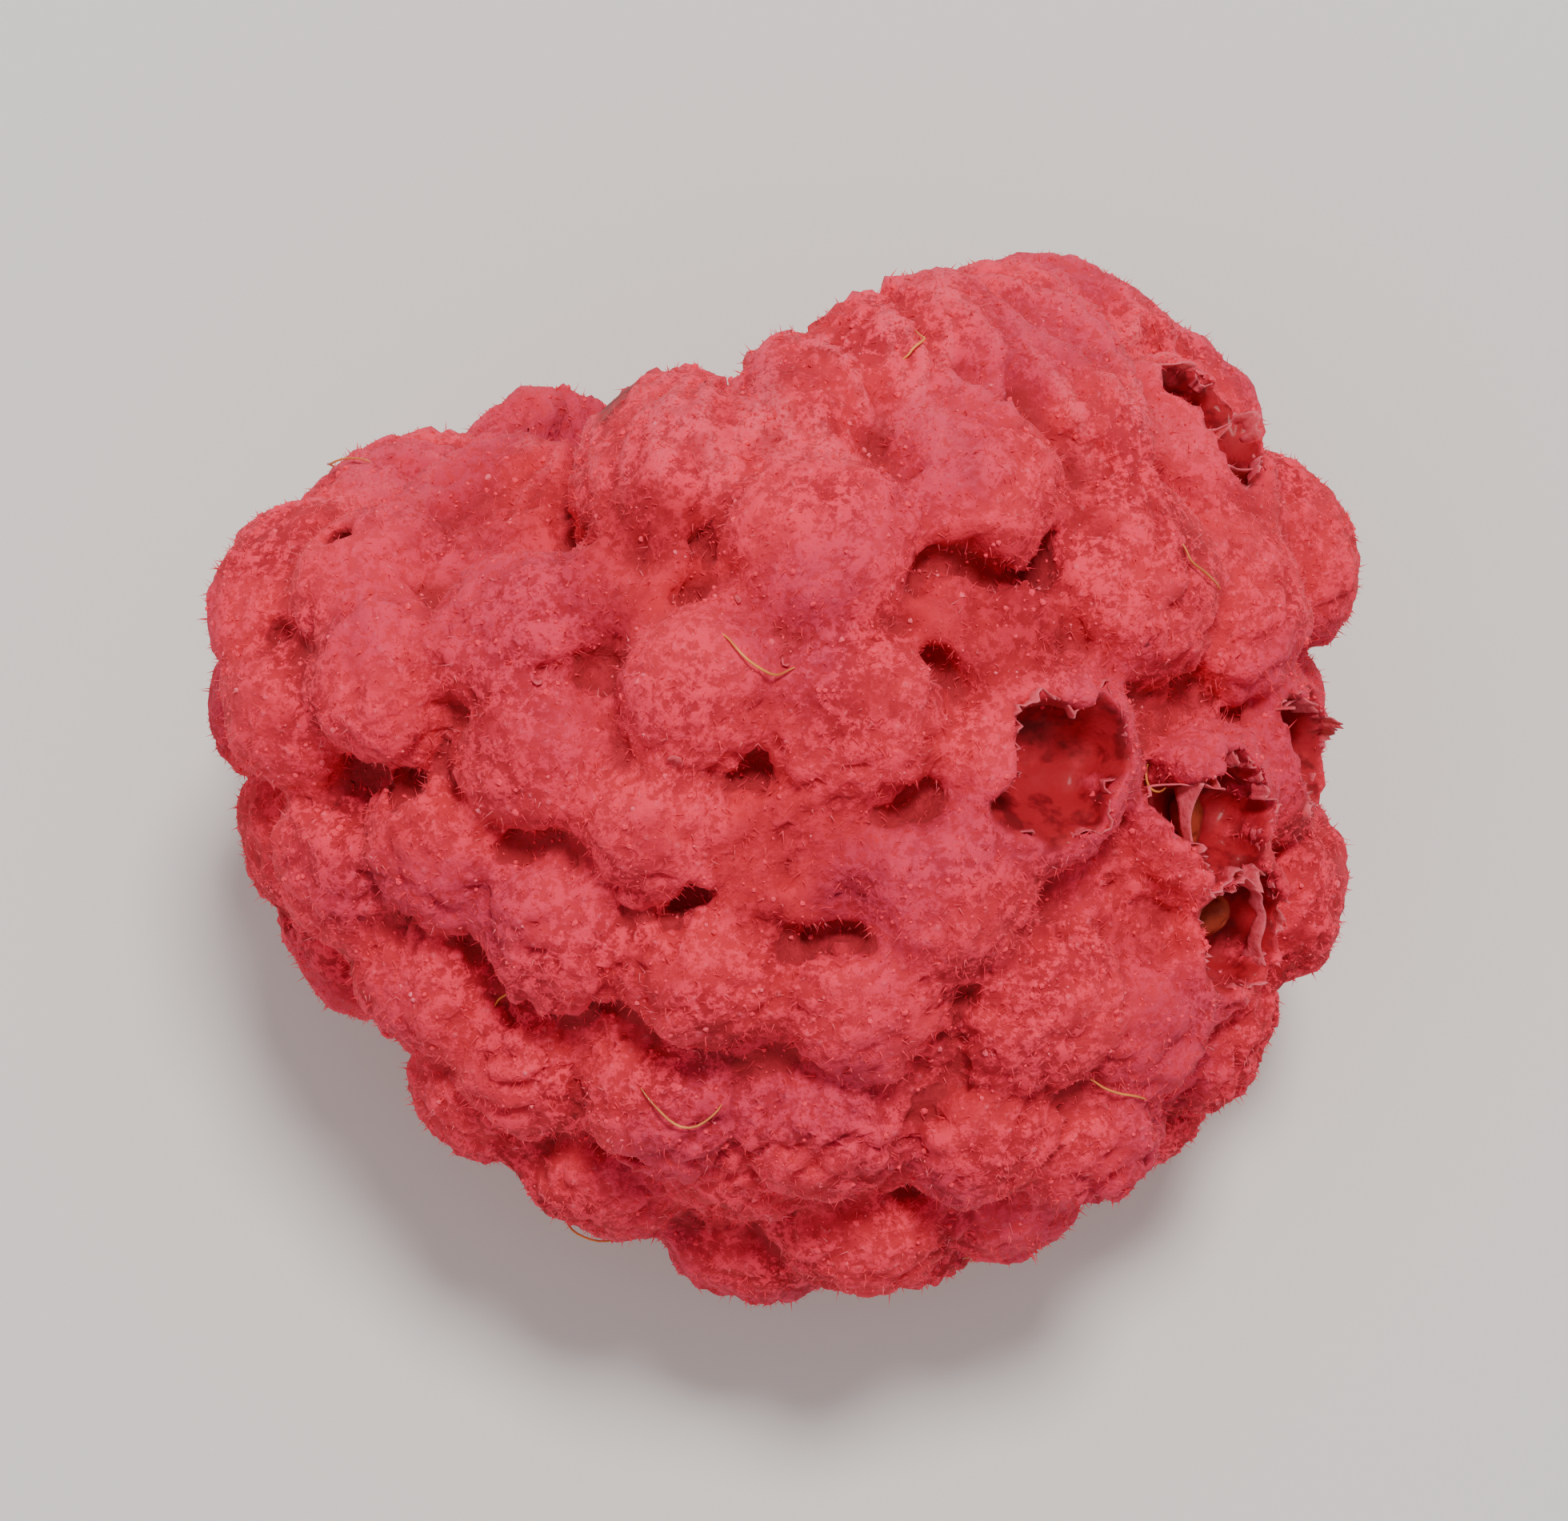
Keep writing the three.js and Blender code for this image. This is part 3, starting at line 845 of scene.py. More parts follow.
def add_pit(bm, drupelet, number):
    """The opening in a broken drupelet, as a cutter: a ragged mouth with wider lobes below it."""
    place = drupelet.place()
    draw = random.Random(SEED + number)
    lobes = [(Vector((0, drupelet.top - PIT_DEPTH * 0.35, 0)), 1.0, PIT_DEPTH)]
    for _ in range(3):
        a, away = draw.uniform(0, 2 * math.pi), draw.uniform(0.25, 0.5) * drupelet.pit_radius
        depth = PIT_DEPTH * draw.uniform(0.75, 0.95)
        spot = Vector((math.cos(a) * away, drupelet.top - depth, math.sin(a) * away))
        share = draw.uniform(0.55, 0.8)
        lobes.append((spot, share, PIT_DEPTH * 0.55 * share))
    for spot, share, above in lobes:
        below = PIT_DEPTH * 0.55 * share
        for vert in add_ball(bm):
            reach = pit_reach(math.atan2(vert.co.z, vert.co.x), number)
            wave = 1 + 0.18 * noise.noise(vert.co * 2.2 + drupelet_offset(number))
            side = drupelet.pit_radius * reach * wave * share
            up = vert.co.y * (above if vert.co.y > 0 else below)
            vert.co = place @ (spot + Vector((vert.co.x * side, up, vert.co.z * side)))


def add_pores(bm, drupelet, number):
    """Ragged slits round a collapsed drupelet, as cutters."""
    draw = random.Random(SEED * 3 + number)
    place = drupelet.place()
    for _ in range(draw.randint(2, 4)):
        a, away = draw.uniform(0, 2 * math.pi), draw.uniform(0.7, 1.05) * drupelet.half
        up = DOME_HEIGHT * draw.uniform(0.15, 0.35)
        spot = Vector((math.cos(a) * away, up, math.sin(a) * away))
        size, long = draw.uniform(0.12, 0.22), draw.uniform(1.5, 3.2)
        turn = Matrix.Rotation(math.pi / 2 - a + draw.uniform(-0.5, 0.5), 4, "Y")
        for vert in add_ball(bm, 3, size):
            wave = 1 + 0.9 * noise.noise(vert.co * 5 + drupelet_offset(number))
            shaped = Vector((vert.co.x * long, vert.co.y * 2.6, vert.co.z)) * wave
            vert.co = place @ (spot + turn @ shaped)


def placed_clefts():
    """Each cleft's number, place, length and width."""
    for number, ((x, up), degrees, length, width) in enumerate(CLEFTS):
        turn, around = place_seen_at(x, up)
        along = Matrix.Rotation(math.radians(degrees), 4, "Y")
        yield number, Drupelet(turn, around, 1, 0, 0, "cleft").place() @ along, length, width


def add_clefts(bm):
    """The dark clefts that the photo shows between drupelets, as cutters."""
    for number, place, length, width in placed_clefts():
        for vert in add_ball(bm):
            spot = vert.co * 2.2 + drupelet_offset(number)
            wave = 1 + 0.6 * noise.noise(spot) + 0.3 * noise.noise(spot * 2.5)
            bend = 0.5 * width * noise.noise(Vector((vert.co.x * 3, number * 1.7, 0)))
            steep = max(0.06, 1 - vert.co.y**2) ** -0.3
            shaped = Vector((
                vert.co.x * steep * length / 2 * (1 + 0.3 * noise.noise(spot * 1.4)),
                CLEFT_MIDDLE + CLEFT_REACH * vert.co.y,
                vert.co.z * steep * width / 2 * wave + bend,
            ))
            vert.co = place @ shaped


def add_hollow_pores(bm):
    """Small torn holes in the wall of the hollow, as cutters."""
    draw = random.Random(SEED * 5)
    for number in range(HOLLOW_PORES):
        deep, a = draw.uniform(0.3, 0.93), draw.uniform(0, 2 * math.pi)
        spot = hollow_point(deep, a, 1)
        size = draw.uniform(0.2, 0.5)
        for vert in add_ball(bm, 3, size):
            wave = 1 + 0.7 * noise.noise(vert.co * 2.5 + drupelet_offset(number))
            vert.co = LIE @ (spot + vert.co * wave)


def add_torn_openings(bm):
    """The openings in broken drupelets, and the slits round collapsed ones."""
    for number, drupelet in enumerate(DRUPELETS):
        if drupelet.state == "broken":
            add_pit(bm, drupelet, number)
        if drupelet.state == "collapsed":
            add_pores(bm, drupelet, number)


def broken_drupelets():
    return [(n, d) for n, d in enumerate(DRUPELETS) if d.state == "broken"]


def aligned(piece):
    """Brings a laid piece to the model's place. It gives the shift, for what comes later."""
    corners = corners_of(piece.data)
    low, high = corners.min(axis=0), corners.max(axis=0)
    box = [np.array(BERRY_LOW) / MM, np.array(BERRY_HIGH) / MM]
    shift = (box[0] + box[1]) / 2 - (low + high) / 2
    shift[2] = box[1][2] - high[2]
    piece.data.transform(Matrix.Translation(shift))
    return Vector(shift)


def merge_neighbours(piece):
    """Smooths the places where neighbouring drupelets have dried into one another."""
    group = piece.vertex_groups.new(name="merged")
    for vert in piece.data.vertices:
        worn = 0.45 * smooth_step(-1, -7, vert.co.y)
        patch = noise.noise(vert.co / MERGED_SIZE + Vector((0, 9, 4)))
        soft = smooth_step(0.18, 0.46, worn + patch)
        if soft > 0:
            group.add([vert.index], soft, "REPLACE")
    modified(piece, "SMOOTH", factor=0.5, iterations=14, vertex_group="merged")
    settle(piece)
    piece.vertex_groups.clear()


def upright_corners(corners):
    """Corners as they were before the berry was tipped over and brought to its place."""
    return moved_by(LIE.inverted() @ Matrix.Translation(-SHARED["shift"]), corners)


def dry_relief(corners, settings):
    """Lumps, wrinkles and crumbly grain all over: the moves outwards, and the grain alone."""
    lump, wrinkle, grain = (
        relief / MM for relief in (settings.lump_relief, settings.wrinkle_relief, settings.grain_relief)
    )
    moves, grains = np.empty(len(corners)), np.empty(len(corners))
    for number, corner in enumerate(corners):
        spot = Vector(corner)
        worn = 0.5 * smooth_step(1, -7, spot.y)
        rough = 0.55 + worn + 0.9 * smooth_step(-0.3, 0.4, noise.noise(spot / ROUGH_SIZE))
        fold = abs(noise.noise(spot / WRINKLE_SIZE + Vector((5, 1, 7))))
        bits = noise.noise(spot / GRAIN_SIZE)
        bits += 0.7 * noise.noise(spot / FINE_GRAIN_SIZE + Vector((3, 3, 3)))
        grains[number] = bits - 1.2 * smooth_step(0.12, 0, fold)
        moves[number] = lump * noise.noise(spot / LUMP_SIZE)
        moves[number] -= wrinkle * rough * smooth_step(0.16, 0, fold)
        moves[number] += grain * rough * bits
    return moves, grains


def rim_fibres(corners):
    """Where the rim's long drupelets are, and the fibres that run along them."""
    upright = upright_corners(corners)
    rim = smooth_steps(FIBRES_START, FIBRES_FULL, upright[:, 1])
    fibres = np.zeros(len(corners))
    for number in np.flatnonzero(rim > 0):
        spot = Vector(upright[number])
        a = math.atan2(spot.z / MOUTH_HEIGHT, spot.x / MOUTH_WIDTH)
        reach = math.hypot(spot.x, spot.z)
        fibres[number] = 1 - abs(noise.noise(Vector((a * 9, reach * 0.45, spot.y * 0.45)))) * 5
        fibres[number] += 0.6 * noise.noise(Vector((a * 24, reach * 0.8, spot.y * 0.8)))
    return rim, fibres


def crumble(mesh, settings):
    """Gives the dry surface its relief, as moves along its normals."""
    corners = corners_of(mesh)
    crevice, pit, hollow = (attribute_of(mesh, name) for name in ("crevice", "pit", "hollow"))
    moves, grains = dry_relief(corners, settings)
    rim, fibres = rim_fibres(corners)
    moves += settings.fibre_relief / MM * rim * np.maximum(fibres, -0.6)
    grains += 0.9 * rim * fibres
    wall = 4 * crevice * (1 - crevice)
    calm = (1 + 0.7 * wall) * (1 - 0.5 * crevice) * (1 - 0.75 * pit) * (1 + 0.9 * hollow)
    set_corners(mesh, corners + normals_of(mesh) * (moves * calm)[:, None])
    set_attribute(mesh, "grain", np.clip(0.5 + 0.5 * grains, 0, 1))
    set_attribute(mesh, "fibre", rim * np.clip(fibres, 0, 1) * (1 - hollow) * (1 - pit))


def depth_in_clefts(piece):
    """How deep each corner is below the surface when that is smoothed, less than 0 on a crown."""
    smoothed = linked("smoothed", piece.data.copy())
    modified(smoothed, "SMOOTH", factor=0.5, iterations=70)
    settle(smoothed)
    sunk = corners_of(piece.data) - corners_of(smoothed.data)
    remove(smoothed)
    return -np.einsum("ij,ij->i", sunk, normals_of(piece.data))


def crevice_mask(corners, depth):
    """Where shade is painted: deep between drupelets, and down in the clefts."""
    crevice = np.clip(depth / CREVICE_DEPTH, 0, 1)
    for _, place, length, width in placed_clefts():
        local = moved_by((Matrix.Translation(SHARED["shift"]) @ place).inverted(), corners)
        away = np.hypot(local[:, 0] / (length * 0.6), local[:, 2] / (width * 0.75))
        inside = smooth_steps(1.35, 1.0, away) * (local[:, 1] > -0.8)
        crevice = np.maximum(crevice, inside * smooth_steps(0.02, 0.12, depth))
    return crevice


def hollow_mask(corners):
    """On the wall of the hollow, from a little inside its mouth; the finish paints shade there."""
    upright = upright_corners(corners)
    deep = np.clip((HOLLOW_MOUTH - upright[:, 1]) / HOLLOW_LENGTH, 0, 1)
    share = (1 - HOLLOW_TAPER * deep) * np.sqrt(np.maximum(0.02, 1 - deep**HOLLOW_BLUNTNESS))
    reach = np.hypot(upright[:, 0] / (MOUTH_WIDTH / 2), upright[:, 2] / (MOUTH_HEIGHT / 2))
    inside = smooth_steps(1.28, 1.1, reach / share) * smooth_steps(1.0, 0.97, deep)
    return inside * smooth_steps(0.16, 0.3, deep)


def pit_mask(corners):
    """Inside the broken drupelets."""
    pit = np.zeros(len(corners))
    for number, drupelet in broken_drupelets():
        local = moved_by(drupelet.final_place().inverted(), corners)
        away = np.hypot(local[:, 0], local[:, 2]) / drupelet.pit_radius
        up = local[:, 1] - drupelet.top
        for spot in np.flatnonzero((up < 0.05) & (up > -PIT_DEPTH * 1.6) & (away < 1.7)):
            reach = pit_reach(math.atan2(local[spot, 2], local[spot, 0]), number)
            edge = drupelet.dome_height(away[spot] * drupelet.pit_radius)
            sunk = smooth_step(0.04, 0.22, edge - local[spot, 1])
            pit[spot] = max(pit[spot], smooth_step(1.12, 0.98, away[spot] / reach) * sunk)
    return pit


def add_rim_windows(pit, corners):
    """Long patches on some of the rim's drupelets where the skin is bare and dark."""
    draw = random.Random(SEED * 11)
    for drupelet in DRUPELETS[SEEN_COUNT:]:
        if drupelet.rim < 0.7 or draw.random() > RIM_WINDOWS:
            continue
        local = moved_by(drupelet.final_place().inverted(), corners)
        across, along = draw.uniform(-0.3, 0.3), draw.uniform(-0.2, 0.7)
        sideways, lengthways = local[:, 0] - across, local[:, 2] - along
        away = np.hypot(sideways / WINDOW_WIDTH, lengthways / WINDOW_LENGTH)
        for spot in np.flatnonzero((local[:, 1] > 0.2) & (away < 1.6)):
            edge = 1 + 0.9 * noise.noise(Vector(corners[spot]) * 1.4)
            pit[spot] = max(pit[spot], smooth_step(edge, edge - 0.25, away[spot]))


def nearest_drupelets(corners):
    """The number of each corner's nearest drupelet, and the distance to it, squared."""
    nearest, closest = np.zeros(len(corners), dtype=int), np.full(len(corners), 1e9)
    for number, drupelet in enumerate(DRUPELETS):
        away = ((corners - np.array(drupelet.final_place().translation)) ** 2).sum(axis=1)
        near = away < closest
        nearest[near], closest[near] = number, away[near]
    return nearest, closest


def surface_masks(piece):
    """Marks the surface for its finish: how deep and bare each place is, where shade and highlights are
    painted, and where it is bluish.
    """
    mesh = piece.data
    corners, depth = corners_of(mesh), depth_in_clefts(piece)
    height = corners[:, 2]
    set_attribute(mesh, "crevice", crevice_mask(corners, depth))
    set_attribute(mesh, "hollow", hollow_mask(corners))
    pit = pit_mask(corners)
    add_rim_windows(pit, corners)
    set_attribute(mesh, "pit", pit)
    # Painted highlight on the crowns of the drupelets, high on the berry.
    set_attribute(mesh, "raised", smooth_steps(0.12, 0.4, -depth) * smooth_steps(5, 12, height))
    nearest, closest = nearest_drupelets(corners)
    draw = random.Random(SEED)
    tones = np.array([draw.random() for _ in DRUPELETS])
    rims = np.array([d.rim for d in DRUPELETS])
    bare = np.array([0.85 if d.state == "collapsed" else 0.25 * draw.random() for d in DRUPELETS])
    # Tone differs at random from drupelet to drupelet; painted light makes it paler high on the berry
    # and darker in the crevices.
    tone = (0.35 + 0.65 * tones[nearest]) * (0.3 + 0.7 * smooth_steps(2, 12, height))
    tone *= 0.35 + 0.65 * smooth_steps(-0.05, 0.22, -depth)
    set_attribute(mesh, "tone", np.clip(tone + 0.25 * rims[nearest], 0, 1))
    # Bluish patches at random, with bluish painted shade added low on the berry.
    spots = (Vector(corner) / MAUVE_SIZE + Vector((2, 8, 5)) for corner in corners)
    clouds = np.array([noise.noise(spot) for spot in spots])
    mauve = smooth_steps(0.05, 0.42, clouds + 0.5 * smooth_steps(8, 2, height))
    set_attribute(mesh, "mauve", 0.6 * mauve)
    set_attribute(mesh, "bare", bare[nearest] * smooth_steps(1.35, 0.7, np.sqrt(closest) / 1.6))


def rest_on_surface(mesh, lowest=0.0):
    """Flattens what would go through the surface that the berry lies on."""
    corners = corners_of(mesh)
    corners[:, 2] = np.maximum(corners[:, 2], lowest)
    set_corners(mesh, corners)


def length_property(name, description, millimetres, **settings):
    return bpy.props.FloatProperty(
        name=name, description=description, default=millimetres * MM, unit="LENGTH", precision=6,
        **settings,
    )


def colour_property(name, description, colour):
    return bpy.props.FloatVectorProperty(
        name=name, description=description, subtype="COLOR", size=3, min=0, max=1, default=colour,
    )


class RASPBERRY_PG_berry(bpy.types.PropertyGroup):
    fineness: bpy.props.FloatProperty(
        name="Drupelet width", description="Width of a drupelet as a share of the model's",
        default=1.0, min=0.8, max=1.1,
    )
    mesh_size: length_property("Mesh size", "Size of the flesh's faces", 0.15, min=0.1 * MM)
    hollow_relief: length_property("Hollow relief", "How far drupelets stand into the hollow", 0.3)
    lump_relief: length_property("Lumps", "Depth of the soft lumps of the dry surface", 0.1)
    wrinkle_relief: length_property("Wrinkles", "Depth of the wrinkles of the dry surface", 0.08)
    grain_relief: length_property("Grain", "Depth of the crumbly grain of the dry surface", 0.075)
    fibre_relief: length_property("Fibres", "Height of the fibres of the rim's drupelets", 0.1)
    crumbs: bpy.props.IntProperty(
        name="Crumbs", description="Number of loose crumbs of dust on the flesh", default=7500,
    )
    hairs: bpy.props.IntProperty(
        name="Fuzz", description="Number of short fibres that stand out of the flesh", default=42000,
    )
    threads: bpy.props.IntProperty(
        name="Styles", description="Number of dried styles besides the ones in the photo", default=12,
    )


class RASPBERRY_PG_look(bpy.types.PropertyGroup):
    red: colour_property("Red", "Bare dry flesh", (0.60, 0.02, 0.038))
    deep_red: colour_property("Deep red", "Darker patches of the flesh", (0.32, 0.008, 0.015))
    dust: colour_property("Dust", "Pink dust that covers the flesh", (0.95, 0.036, 0.09))
    # Also the painted highlight on the crowns of the drupelets.
    pale: colour_property("Pale dust", "The palest specks", (0.94, 0.16, 0.235))
    # Paler tone of some drupelets, and painted highlight on raised drupelets high on the berry.
    dome: colour_property("Dome", "Raised, best lit drupelets", (0.95, 0.046, 0.10))
    # Painted shade between drupelets and in the clefts.
    crevice: colour_property("Crevice", "Between drupelets", (0.32, 0.018, 0.027))
    pit: colour_property("Pit", "Inside a broken drupelet", (0.38, 0.009, 0.019))
    pit_dark: colour_property("Pit, dark", "The darkest places of a pit", (0.20, 0.004, 0.009))
    # Bluish painted shade low on the berry, and bluish patches at random.
    mauve: colour_property("Mauve", "Where the dust is bluish, low on the berry", (0.56, 0.036, 0.095))
    # Painted shade inside the hollow.
    hollow: colour_property("Hollow", "Inside the hollow", (0.38, 0.016, 0.036))
    skin: colour_property("Skin", "Torn skin of a drupelet", (0.70, 0.035, 0.07))
    skin_edge: colour_property("Skin edge", "The pale edge of torn skin", (0.90, 0.13, 0.19))
    thread: colour_property("Style", "Dried styles", (0.88, 0.29, 0.05))
    thread_dark: colour_property("Style, brown", "Browner stretches of the styles", (0.54, 0.12, 0.022))
    pip: colour_property("Pip", "Pips in broken drupelets", (0.42, 0.045, 0.014))
    pip_stain: colour_property("Pip, stained", "Where juice has stained a pip", (0.27, 0.011, 0.007))


class RASPBERRY_PG_stage(bpy.types.PropertyGroup):
    floor: colour_property("Floor", "Colour of the floor", (0.80, 0.78, 0.76))
    daylight: bpy.props.FloatProperty(
        name="Daylight", description="Strength of the light from all round", default=0.5,
    )
    key_light: bpy.props.FloatProperty(
        name="Key light", description="Power of the soft lamp above the berry", default=1.1,
        unit="POWER",
    )
    elevation: bpy.props.FloatProperty(
        name="Camera elevation", description="How steeply the camera looks down",
        default=math.radians(VIEW_ELEVATION), subtype="ANGLE",
    )
    fill: bpy.props.FloatProperty(
        name="Fill", description="Share of the picture's width that the berry takes", default=0.74,
    )


class RASPBERRY_OT_flesh(bpy.types.Operator):
    """Models the berry's flesh: drupelets fused on their bed, round the hollow"""

    bl_idname = "raspberry.flesh"
    bl_label = "Flesh"

    def execute(self, context):
        settings = berry_settings()
        size = settings.mesh_size / MM * 1
        flesh = self.fused("flesh", (add_drupelets, add_bed), size)
        openings = (add_hollow, add_hollow_pores, add_clefts, add_torn_openings)
        cutter = self.fused("cutter", openings, size)
        modified(flesh, "BOOLEAN", object=cutter, operation="DIFFERENCE", solver="MANIFOLD")
        modified(flesh, "REMESH", mode="VOXEL", voxel_size=size)
        modified(flesh, "SMOOTH", factor=0.5, iterations=1)
        settle(flesh)
        remove(cutter)
        merge_neighbours(flesh)
        SHARED["shift"] = aligned(flesh)
        surface_masks(flesh)
        crumble(flesh.data, settings)
        rest_on_surface(flesh.data)
        SHARED["flesh"], SHARED["tree"] = flesh, surface_tree(flesh.data)
        finish_piece(flesh, flesh_finish(look_settings()))
        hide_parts("raspberry")
        return {"FINISHED"}

    @staticmethod
    def fused(name, makers, size):
        """One closed body of all the shapes that some functions add."""
        bm = bmesh.new()
        for add_shapes in makers:
            add_shapes(bm)
        body = object_from(bm, name)
        modified(body, "REMESH", mode="VOXEL", voxel_size=size)
        return settle(body)


def surface_tree(mesh):
    """The surface in millimetres, for rays and nearest points."""
    bm = bmesh.new()
    bm.from_mesh(mesh)
    tree = BVHTree.FromBMesh(bm)
    bm.free()
    return tree


def seen_on_surface(x, up):
    """The point of the flesh that the photo shows at a spot, and its direction."""
    e = math.radians(VIEW_ELEVATION)
    towards = Vector((0, -math.cos(e), math.sin(e)))
    upward = Vector((0, math.sin(e), math.cos(e)))
    middle = SHARED["shift"] + Vector((VIEW_MIDDLE[0], 0, 0)) + upward * VIEW_MIDDLE[1]
    spot = middle + Vector((x, 0, 0)) + upward * up
    found, normal, _, _ = SHARED["tree"].ray_cast(spot + towards * 60, -towards)
    if found is None:
        found, normal, _, _ = SHARED["tree"].find_nearest(spot)
    return found, normal


class Scatter:
    """Seeded places on the flesh, in millimetres, for what lies on it or stands out of it."""

    def __init__(self, seed):
        mesh = SHARED["flesh"].data
        self.centres = vectors_of(mesh.polygons, "center") / MM
        self.normals = vectors_of(mesh.polygons, "normal")
        starts = np.empty(len(mesh.polygons), dtype=np.int32)
        mesh.polygons.foreach_get("loop_start", starts)
        loops = np.empty(len(mesh.loops), dtype=np.int32)
        mesh.loops.foreach_get("vertex_index", loops)
        self.corner = loops[starts]
        self.draw = np.random.default_rng(seed)

    def mask(self, name):
        """A mask of the flesh, at each face."""
        return attribute_of(SHARED["flesh"].data, name)[self.corner]

    def towards(self, face, draw, spread):
        """A direction out of the flesh, turned aside at random."""
        return Vector(self.normals[face]) + random_vector(draw, spread)

    def pick(self, count, keep):
        """Faces drawn at random, where keep, an array of chances, lets them stay."""
        faces = self.draw.integers(0, len(self.centres), count * 3)
        faces = faces[self.draw.random(len(faces)) < keep[faces]]
        return faces[:count]


def copies(bm, places, name):
    """One mesh of many copies of a small shape, each moved to its own place."""
    piece = object_from(bm, name)
    modified(piece, "ARRAY", count=len(places), use_relative_offset=False)
    settle(piece)
    corners = corners_of(piece.data).reshape(len(places), -1, 3)
    moves = np.array(places)
    corners = np.einsum("nij,nkj->nki", moves[:, :3, :3], corners) + moves[:, None, :3, 3]
    set_corners(piece.data, corners.reshape(-1, 3))
    return piece


def standing_at(spot, towards, length, width, spin=0.0):
    """Stands a shape made along Z at a spot, with its length, width and spin."""
    turn = Vector(towards).to_track_quat("Z", "Y").to_matrix().to_4x4()
    size = Matrix.Diagonal((width, width, length, 1))
    return Matrix.Translation(Vector(spot)) @ turn @ Matrix.Rotation(spin, 4, "Z") @ size


class RASPBERRY_OT_crumbs(bpy.types.Operator):
    """Scatters crumbs of dried flesh over the berry"""

    bl_idname = "raspberry.crumbs"
    bl_label = "Crumbs"

    def execute(self, context):
        count = berry_settings().crumbs // 1
        scatter = Scatter(SEED + 1)
        keep = (1 - 0.95 * scatter.mask("pit")) * (1 - 0.4 * scatter.mask("hollow"))
        faces = scatter.pick(count, keep)
        inside = scatter.pick(HOLLOW_BITS, scatter.mask("hollow"))
        draw = random.Random(SEED + 1)
        matrices = []
        for face in (*faces, *inside):
            size = CRUMB_LEAST + CRUMB_SPREAD * draw.random() ** 3
            if len(matrices) >= len(faces):
                size *= draw.uniform(2, 5)
            towards = scatter.towards(face, draw, 0.6)
            stretch = draw.uniform(0.7, 1.6)
            spot = scatter.centres[face] + scatter.normals[face] * size * 0.2
            matrices.append(standing_at(spot, towards, size, size * stretch, draw.uniform(0, 6)))
        bm = bmesh.new()
        for vert in add_ball(bm, 1):
            vert.co *= 1 + 0.6 * noise.noise(vert.co * 1.7)
        crumbs = copies(bm, matrices, "crumbs")
        rest_on_surface(crumbs.data)
        finish_piece(crumbs, dust_finish(look_settings()), smooth=False)
        return {"FINISHED"}


class RASPBERRY_OT_fuzz(bpy.types.Operator):
    """Grows the short fibres that make the dry surface look velvety"""

    bl_idname = "raspberry.fuzz"
    bl_label = "Fuzz"

    def execute(self, context):
        count = berry_settings().hairs // 1
        scatter = Scatter(SEED + 2)
        keep = (1 - scatter.mask("pit")) * (1 - 0.7 * scatter.mask("crevice"))
        faces = scatter.pick(count, keep)
        draw = random.Random(SEED + 2)
        matrices = []
        for face in faces:
            length = HAIR_LEAST + HAIR_SPREAD * draw.random() ** 2
            towards = scatter.towards(face, draw, 0.9)
            width = draw.uniform(0.008, 0.016)
            matrices.append(standing_at(scatter.centres[face], towards, length, width))
        bm = bmesh.new()
        bmesh.ops.create_cone(
            bm, cap_ends=True, segments=3, radius1=1, radius2=0, depth=1,
            matrix=Matrix.Translation((0, 0, 0.5)),
        )
        fuzz = copies(bm, matrices, "fuzz")
        rest_on_surface(fuzz.data)
        finish_piece(fuzz, dust_finish(look_settings()), smooth=False)
        return {"FINISHED"}


class RASPBERRY_OT_styles(bpy.types.Operator):
    """Lays the dried styles, fine golden threads, on the berry"""

    bl_idname = "raspberry.styles"
    bl_label = "Styles"

    def execute(self, context):
        draw = random.Random(SEED + 3)
        strands = []
        for (x, up), degrees, length in SEEN_STYLES:
            spot, normal = seen_on_surface(x, up)
            a = math.radians(degrees)
            strands.append((spot, normal, Vector((math.cos(a), math.sin(a), 0)), length))
        scatter = Scatter(SEED + 3)
        keep = (1 - scatter.mask("pit")) * (scatter.centres[:, 2] > 1.5)
        for face in scatter.pick(berry_settings().threads, keep):
            towards = random_vector(draw, 1)
            normal = Vector(scatter.normals[face])
            strands.append((Vector(scatter.centres[face]), normal, towards, draw.uniform(0.6, 2.2)))
        styles = self.drawn([self.strand(*strand, draw) for strand in strands])
        rest_on_surface(styles.data)
        finish_piece(styles, thread_finish(look_settings()))
        return {"FINISHED"}

    @staticmethod
    def drawn(strands):
        """One mesh of round strands through points, finer towards their ends."""
        curve = bpy.data.curves.new("styles", "CURVE")
        curve.dimensions = "3D"
        curve.bevel_depth = STYLE_RADIUS
        curve.bevel_resolution = 1
        curve.use_fill_caps = True
        for points in strands:
            spline = curve.splines.new("POLY")
            spline.points.add(len(points) - 1)
            for number, point in enumerate(points):
                share = mix(0.12, 0.9, number / (len(points) - 1))
                spline.points[number].co = (*point, 1)
                spline.points[number].radius = 0.35 + 0.65 * math.sin(math.pi * share)
        path = linked("path", curve)
        graph = bpy.context.evaluated_depsgraph_get()
        mesh = bpy.data.meshes.new_from_object(path.evaluated_get(graph))
        bpy.data.objects.remove(path)
        bpy.data.curves.remove(curve)
        mesh.name = "styles"
        return linked("styles", mesh)

    @staticmethod
    def strand(spot, normal, towards, length, draw):
        """Points of one style: it leaves the flesh, arches over it and comes down again."""
        along = (towards - normal * towards.dot(normal)).normalized()
        side = along.cross(normal)
        bend = draw.uniform(-0.35, 0.35) * length
        points = []
        for step in range(STYLE_STEPS + 1):
            share = step / STYLE_STEPS
            ahead = (share - 0.5) * length
            arch = math.sin(math.pi * share)
            free = spot + along * ahead + side * bend * arch
            near, out, _, _ = SHARED["tree"].find_nearest(free)
            lift = 0.03 + 0.08 * length * arch if step else -0.08
            points.append(near + out * lift)
        for _ in range(3):
            inner = [
                (points[i - 1] + points[i] * 2 + points[i + 1]) / 4 for i in range(1, len(points) - 1)
            ]
            points = [points[0], *inner, points[-1]]
        return points


